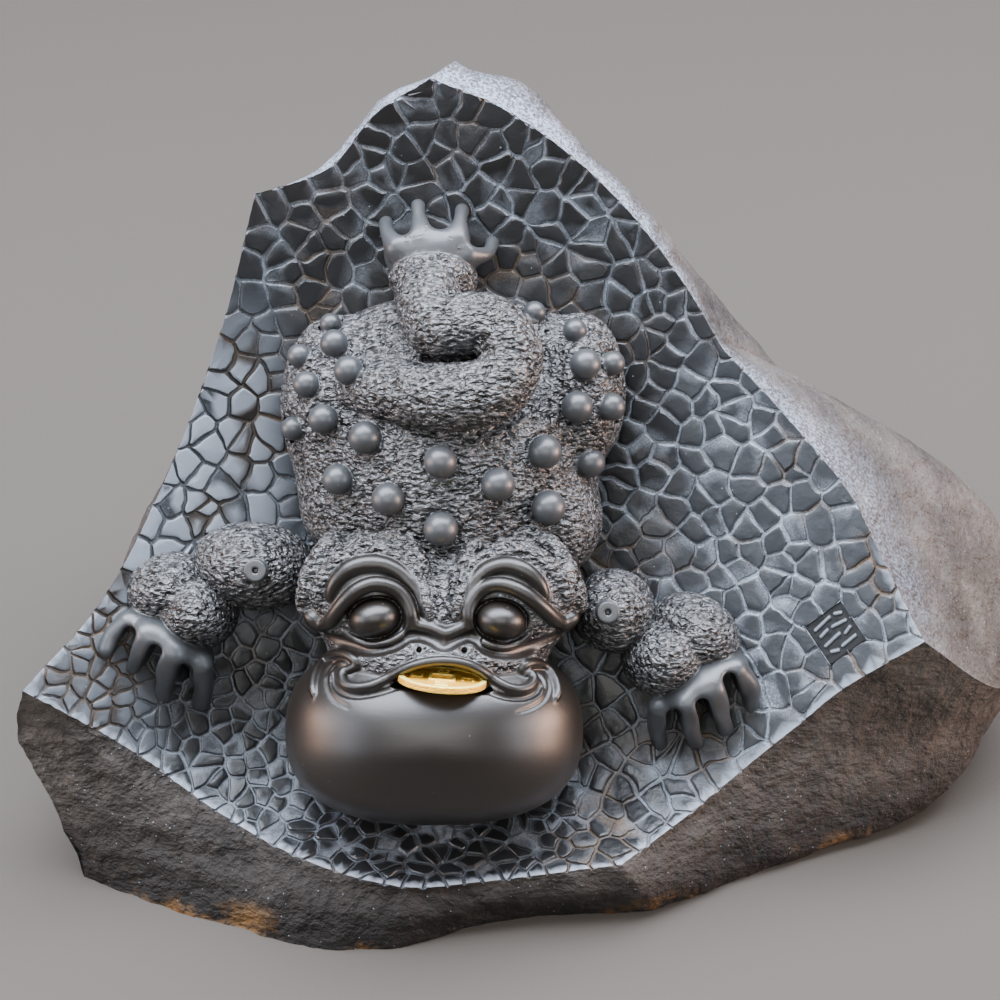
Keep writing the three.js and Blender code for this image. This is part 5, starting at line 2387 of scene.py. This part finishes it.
@dataclass(frozen=True)
class WeatheredSkin(Finish):
    """The stone's own split skin: matt, brown-black, grainy, ochre-stained and darker low, dust and painted
    light on top.
    """

    NAME: ClassVar[str] = "weathered_stone_skin"
    dark: str = "110f0e"
    brown: str = "413b36"
    scale: str = "605a54"
    ochre: str = "76552c"
    # The dust on top stands partly for painted light from above.
    dust_and_light: str = "8c95a4"
    roughness: float = 0.8
    ior: float = 1.38  # lower than the stone's, as its crust is open and swallows what would gleam
    blotch: float = 30.0  # mm
    grain: float = 1.7  # mm
    facet: float = 7.0  # mm
    powder: float = 0.9  # mm, drawn coarser than it is so that it shows
    speck: float = 2.4  # mm from one speck of dust to the next

    def surface(self, node: Nodes) -> Inputs:
        """Adds the finish's nodes, and gives the shader's inputs.

        Args:
            node: adds a node to the material.

        Returns:
            What the shader's inputs take.
        """
        place = node("TexCoord", out="Object")
        split = node("Mapping", {"Vector": place, "Scale": (0.8, 0.9, 1.0)})
        blotches, grain, facets, powder = (
            node("TexNoise", {
                "Vector": vector, "Scale": per_mm(size), "Detail": detail, "Roughness": rough,
                "Distortion": bend,
            })
            for vector, size, detail, rough, bend in (
                (place, self.blotch, 7.0, 0.65, 0.0), (split, self.grain, 3.0, 0.6, 0.0),
                (split, self.facet, 4.0, 0.55, 0.25), (place, self.powder, 2.0, 0.5, 0.0),
            )
        )
        # Painted light on the grain: its raised points, which the bump lifts too, go lighter.
        grain_painted_light = node("MapRange", (grain, 0.35, 0.7, -0.25, 0.35))
        height = node("SeparateXYZ", {"Vector": place}, out="Z")
        # Darker towards the bottom.
        darker_low = node("MapRange", (height, 30 * MM, 8 * MM, 0.0, 0.9))
        low = node("MapRange", (height, 9 * MM, 1 * MM))
        stain = node("MapRange", (blotches, 0.55, 0.66))
        stain = node("Math", (stain, low), operation="MULTIPLY")
        # More dust where the skin faces up and stands high: partly real dust, partly painted light from
        # above.
        facing = node("SeparateXYZ", {"Vector": node("NewGeometry", out="Normal")}, out="Z")
        up_facing_dust_and_light = node("MapRange", (facing, 0.1, 0.8))
        high = node("MapRange", (height, 45 * MM, 170 * MM, 0.0, 1.5))
        near_lip = node("Attribute", out="Fac", attribute_name="flour")
        near_lip = node("MapRange", (near_lip, 0.0, 1.0, 0.12))
        dust_and_light_amount = node("MapRange", (powder, 0.42, 0.6, 0.2))
        for share in (near_lip, up_facing_dust_and_light, high):
            dust_and_light_amount = node("Math", (dust_and_light_amount, share), operation="MULTIPLY", use_clamp=True)
        specks = node("TexVoronoi", {"Vector": place, "Scale": per_mm(self.speck)})
        speck = node("MapRange", (specks, 0.1, 0.05, dust_and_light_amount, 0.7))
        stops = ((0.3, self.dark), (0.52, self.brown), (0.72, self.scale))
        colour = node("ValToRGB", {"Fac": blotches}, stops)
        for share, over in ((grain_painted_light, self.scale), (darker_low, self.dark), (stain, self.ochre), (speck, self.dust_and_light)):
            colour = node("Mix", {"Factor": share, 6: colour, 7: over}, out=2, data_type="RGBA")
        bump = node("Bump", {"Height": facets, "Distance": 4.0 * MM, "Strength": 0.9})
        bump = node("Bump", {"Height": grain, "Distance": 1.1 * MM, "Strength": 0.9, "Normal": bump})
        return {"Base Color": colour, "Roughness": self.roughness, "IOR": self.ior, "Normal": bump}


@dataclass(frozen=True)
class ToadStone(Finish):
    """The same stone on the toad: chisel marks with painted glints and painted shade, waxed on bare parts."""

    NAME: ClassVar[str] = "toad_stone"
    waxed: str = "17130f"
    satin: str = "2a2b2c"
    worn: str = "444648"
    chiselled: str = "323233"
    crumb: str = "6a6969"  # painted glints on the tops of the chisel marks; also the colour of the specks of stone flour
    # painted shade at the bottom of the chisel marks
    pit: str = "181716"
    smooth_roughness: float = 0.37
    chiselled_roughness: float = 0.28
    ior: float = 1.6
    mark: float = 1.0  # mm, the chisel marks
    cloud_size: float = 16.0  # mm
    scratch: float = 0.45  # mm, the polishing scratches, drawn coarser than they are so that they show
    speck: float = 4.5  # mm from one speck of stone flour to the next

    def surface(self, node: Nodes) -> Inputs:
        """Adds the finish's nodes, and gives the shader's inputs.

        Args:
            node: adds a node to the material.

        Returns:
            What the shader's inputs take.
        """
        place = node("TexCoord", out="Object")
        polish, pit = (node("Attribute", out="Fac", attribute_name=name) for name in ("polish", "pit"))
        even = node("MapRange", (polish, 0.0, Skin.SATIN.value))
        wax = node("MapRange", (polish, Skin.SATIN.value))
        wide = node("Mapping", {"Vector": place, "Scale": (0.55, 0.9, 0.95)})
        marks = node("TexNoise", {
            "Vector": wide, "Scale": per_mm(self.mark), "Detail": 1.0, "Roughness": 0.4, "Distortion": 0.5,
        })
        slow = node("TexNoise", {"Vector": place, "Scale": per_mm(self.cloud_size), "Detail": 3.0})
        # Painted light on the chisel marks: their tops go pale as glints and their pits dark as shade, after
        # the same noise as the bump.
        shade = node("MapRange", (marks, 0.32, 0.68, 0.1, 0.9))
        level = node("Math", (shade, pit), operation="SUBTRACT", use_clamp=True)
        stops = ((0.0, self.pit), (0.35, self.chiselled), (1.0, self.crumb))
        marks_with_painted_light = node("ValToRGB", {"Fac": level}, stops)
        bare = node("Math", (1.0, even), operation="SUBTRACT")
        specks = node("TexVoronoi", {"Vector": place, "Scale": per_mm(self.speck)})
        speck = node("MapRange", (specks, 0.055, 0.03, 0.0, 0.6))
        colour: Input = self.satin
        for share, over in ((slow, self.worn), (wax, self.waxed), (bare, marks_with_painted_light), (speck, self.crumb)):
            colour = node("Mix", {"Factor": share, 6: colour, 7: over}, out=2, data_type="RGBA")
        rough = node("MapRange", (even, 0.0, 1.0, self.chiselled_roughness, self.smooth_roughness))
        along = node("Mapping", {"Vector": place, "Scale": (0.12, 1.0, 1.0)})
        scratches = node("TexNoise", {"Vector": along, "Scale": per_mm(self.scratch), "Detail": 1.0})
        bump = node("Bump", {"Height": scratches, "Distance": 0.03 * MM, "Strength": 0.5})
        bump = node("Bump", {"Height": marks, "Distance": 1.7 * MM, "Strength": bare, "Normal": bump})
        return {"Base Color": colour, "Roughness": rough, "IOR": self.ior, "Normal": bump}


@dataclass(frozen=True)
class GiltBrass(Finish):
    """Cast brass with a bright gilt wash: mirror-like on the rim, a little darker down in the field."""

    NAME: ClassVar[str] = "gilt_brass"
    bright: str = "ffe678"
    field: str = "f4b436"
    metallic: float = 0.35  # the lacquer over the gilding scatters the rest
    roughness: Pair = (0.32, 0.5)
    grain: float = 0.6  # mm, the sand it was cast in

    def surface(self, node: Nodes) -> Inputs:
        """Adds the finish's nodes, and gives the shader's inputs.

        Args:
            node: adds a node to the material.

        Returns:
            What the shader's inputs take.
        """
        raised = node("Attribute", out="Fac", attribute_name="raised")
        colour = node("Mix", {"Factor": raised, 6: self.field, 7: self.bright}, out=2, data_type="RGBA")
        cast = node("TexNoise", {
            "Vector": node("TexCoord", out="Object"), "Scale": per_mm(self.grain), "Detail": 3.0,
        })
        return {
            "Base Color": colour,
            "Metallic": self.metallic,
            "Roughness": node("MapRange", (cast, 0.0, 1.0, self.roughness[0], self.roughness[1])),
            "Normal": node("Bump", {"Height": cast, "Distance": 0.4 * MM, "Strength": 0.9}),
        }


@dataclass(frozen=True)
class PaleFloor(Finish):
    """A plain matt studio floor."""

    NAME: ClassVar[str] = "pale_floor"
    colour: str = "45403a"
    roughness: float = 0.85
    grain: float = 1.2  # mm

    def surface(self, node: Nodes) -> Inputs:
        """Adds the finish's nodes, and gives the shader's inputs.

        Args:
            node: adds a node to the material.

        Returns:
            What the shader's inputs take.
        """
        grain = node("TexNoise", {
            "Vector": node("TexCoord", out="Object"), "Scale": per_mm(self.grain), "Detail": 2.0,
        })
        bump = node("Bump", {"Height": grain, "Distance": 0.15 * MM, "Strength": 0.4})
        return {"Base Color": self.colour, "Roughness": self.roughness, "Normal": bump}


# The studio


@dataclass(frozen=True)
class SoftLight:
    """One soft box. at and look_at are in metres, size is its sides and power in watts."""

    name: str
    at: Triple
    size: Pair
    power: float
    colour: str
    look_at: Triple = (0.0, 0.0, 0.08)

    def hang(self) -> None:
        """Puts it in the scene."""
        lamp = bpy.data.lights.new(self.name, "AREA")
        lamp.shape, lamp.size, lamp.size_y = "RECTANGLE", *self.size
        lamp.energy, lamp.color = self.power, linear(self.colour)[:3]
        light = bpy.data.objects.new(self.name, lamp)
        light.location = self.at
        light.rotation_euler = (Vector(self.look_at) - Vector(self.at)).to_track_quat("-Z", "Y").to_euler()
        bpy.context.scene.collection.objects.link(light)


@dataclass
class Studio:
    """Floor, soft light and the camera at the photograph's angle."""

    view_distance: float = 600.0  # mm from the carved face's origin, straight out of it
    view_width: float = 267.0  # mm of the carved face across the picture
    sensor: float = 36.0
    zenith: str = "c4cddc"
    sky: str = "55595f"
    horizon: str = "201e1d"
    sky_strength: float = 0.5
    lights: tuple[SoftLight, ...] = (
        SoftLight("overhead", (-0.05, 0.2, 1.1), (2.2, 0.8), 118.0, "e6edfb"),
        SoftLight("left_card", (-1.2, -0.4, 0.5), (0.9, 0.6), 11.0, "dde7f5"),
        SoftLight("right_card", (1.2, -0.4, 0.5), (0.9, 0.6), 11.0, "dde7f5"),
        SoftLight("warm_left", (-1.1, -0.08, 0.14), (0.5, 0.4), 7.0, "ffcdb0"),
        SoftLight("warm_right", (1.1, -0.08, 0.14), (0.5, 0.4), 18.0, "ffcdb0"),
        SoftLight("front_card", (-0.1, -1.1, 1.15), (1.5, 0.8), 15.0, "f4f2ee"),
    )

    def build(self) -> None:
        """Sets the studio up."""
        self._lay_floor()
        for light in self.lights:
            light.hang()
        self._make_sky()
        self._place_camera()

    def _make_sky(self) -> None:
        """A soft sky, bright overhead and dim at the horizon."""
        world = bpy.data.worlds.new("studio")
        world.use_nodes = True
        tree = world.node_tree
        tree.nodes.clear()
        node = partial(add_node, tree)
        height = node("SeparateXYZ", {"Vector": node("TexCoord", out="Generated")}, out="Z")
        stops = ((0.0, self.horizon), (0.45, self.sky), (1.0, self.zenith))
        colour = node("ValToRGB", {"Fac": height}, stops)
        node("OutputWorld", {"Surface": node("Background", {"Color": colour, "Strength": self.sky_strength})})
        bpy.context.scene.world = world

    @staticmethod
    def _lay_floor() -> None:
        """A large flat sheet under the stone."""
        work = bmesh.new()
        bmesh.ops.create_grid(work, x_segments=2, y_segments=2, size=6.0)
        mesh = bpy.data.meshes.new("floor")
        work.to_mesh(mesh)
        work.free()
        mesh.materials.append(PaleFloor().material())
        floor = bpy.data.objects.new("floor", mesh)
        bpy.context.scene.collection.objects.link(floor)

    def _place_camera(self) -> None:
        """The camera looks straight at the carved face."""
        out = Vector((0, -math.sin(FACE_RISE), math.cos(FACE_RISE)))
        camera = bpy.data.objects.new("camera", bpy.data.cameras.new("camera"))
        camera.location = (Vector(FACE_ORIGIN) + out * self.view_distance) * MM
        camera.rotation_euler = (-out).to_track_quat("-Z", "Y").to_euler()
        camera.data.sensor_width = self.sensor
        camera.data.lens = self.sensor * self.view_distance / self.view_width
        bpy.context.scene.collection.objects.link(camera)
        bpy.context.scene.camera = camera


# Everything together


def fit_face(low: Array, high: Array) -> CarvedFace:
    """The carved face, stretched so that the stone as drawn fills the CAD model's box.

    Args:
        low: the box's lowest corner, in mm.
        high: its highest corner.

    Returns:
        The face.
    """
    face = CarvedFace()
    outline = Outline()
    steps = np.arange(0, len(outline.stations), 0.5)
    drawn = np.vstack(outline.rows(steps, face))
    size = drawn.max(axis=0) - drawn.min(axis=0)
    face.scale = (high - low) / size
    face.shift = low - drawn.min(axis=0) * face.scale
    return face


def main() -> None:
    """Builds every piece on the CAD frame."""
    logging.basicConfig(level=logging.INFO, format="%(message)s")
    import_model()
    low, high = (np.array(corner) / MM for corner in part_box("stone_carving"))
    face = fit_face(low, high)
    LOG.info("stretch %s shift %s", face.scale.round(5), face.shift.round(4))
    stone_finish = ToadStone()
    coin = MouthCoin(face, GiltBrass())
    stone = RiverStone(face, HonedSlate(), WeatheredSkin(), low, high)
    parts = [
        stone,
        SealTile(stone, stone.cobble_finish),
        ToadBody(face, stone_finish),
        ToadHead(face, stone_finish, coin_seat=coin.seat()),
        ToadArm(
            face, stone_finish, "toad_arm_left", (-111, -60, -30), (-47, -2, 12),
            masses=(
                Lump((-66.6, -18.1, -12), (16.6, 11.8, 19), -8),
                Lump((-90, -24.6, -12), (11.4, 10, 16), 20), Lump((-82, -30.4, -12), (10.6, 10.4, 19)),
            ),
            palm=Lump((-90.8, -38.8, -11), (14.4, 8.8, 15.4), -33),
            fingers=(
                ((-99.6, -33), (-103.8, -36.6), (-105.2, -40)),
                ((-94.2, -36.3), (-96.3, -40.8), (-98.8, -44.6)),
                ((-87.2, -41.4), (-89.3, -46.6), (-91.2, -52.4)),
                ((-80.4, -44.6), (-80.2, -49.8), (-81.9, -55.2)),
            ),
            finger_gaps=(
                ((-98, -34.2), (-103.4, -45)), ((-90.8, -38.8), (-97, -50)), ((-83.8, -44), (-88, -57)),
            ),
            knob=(-64.4, -18.8),
        ),
        ToadArm(
            face, stone_finish, "toad_arm_right", (15, -73, -30), (76, -14, 12),
            masses=(
                Lump((31, -30.4, -12), (11.2, 11.3, 19)), Lump((53.4, -36.2, -12), (12.8, 9.8, 16.4), -32),
                Lump((44.6, -42.8, -12), (11.4, 10.8, 19.4)),
            ),
            palm=Lump((54.6, -51.2, -11), (14.8, 9.2, 15.4), 36),
            fingers=(
                ((43, -56), (42.6, -61.4), (44.4, -66.4)), ((49.8, -54.7), (51.2, -60.6), (53.8, -66)),
                ((56.2, -50.6), (58.8, -56.5), (61.4, -62.3)), ((63.2, -45.6), (67.6, -50.6), (68, -55.4)),
            ),
            finger_gaps=(((46.4, -56), (48.6, -70)), ((53.2, -53), (58.6, -68)), ((60.6, -46.4), (66, -61))),
            knob=(28.4, -29.8),
        ),
        coin,
    ]
    for part in parts:
        piece = part.build()
        piece.data.calc_loop_triangles()
        LOG.info("%s: %d triangles", piece.name, len(piece.data.loop_triangles))
    Studio().build()


if __name__ == "__main__":
    main()
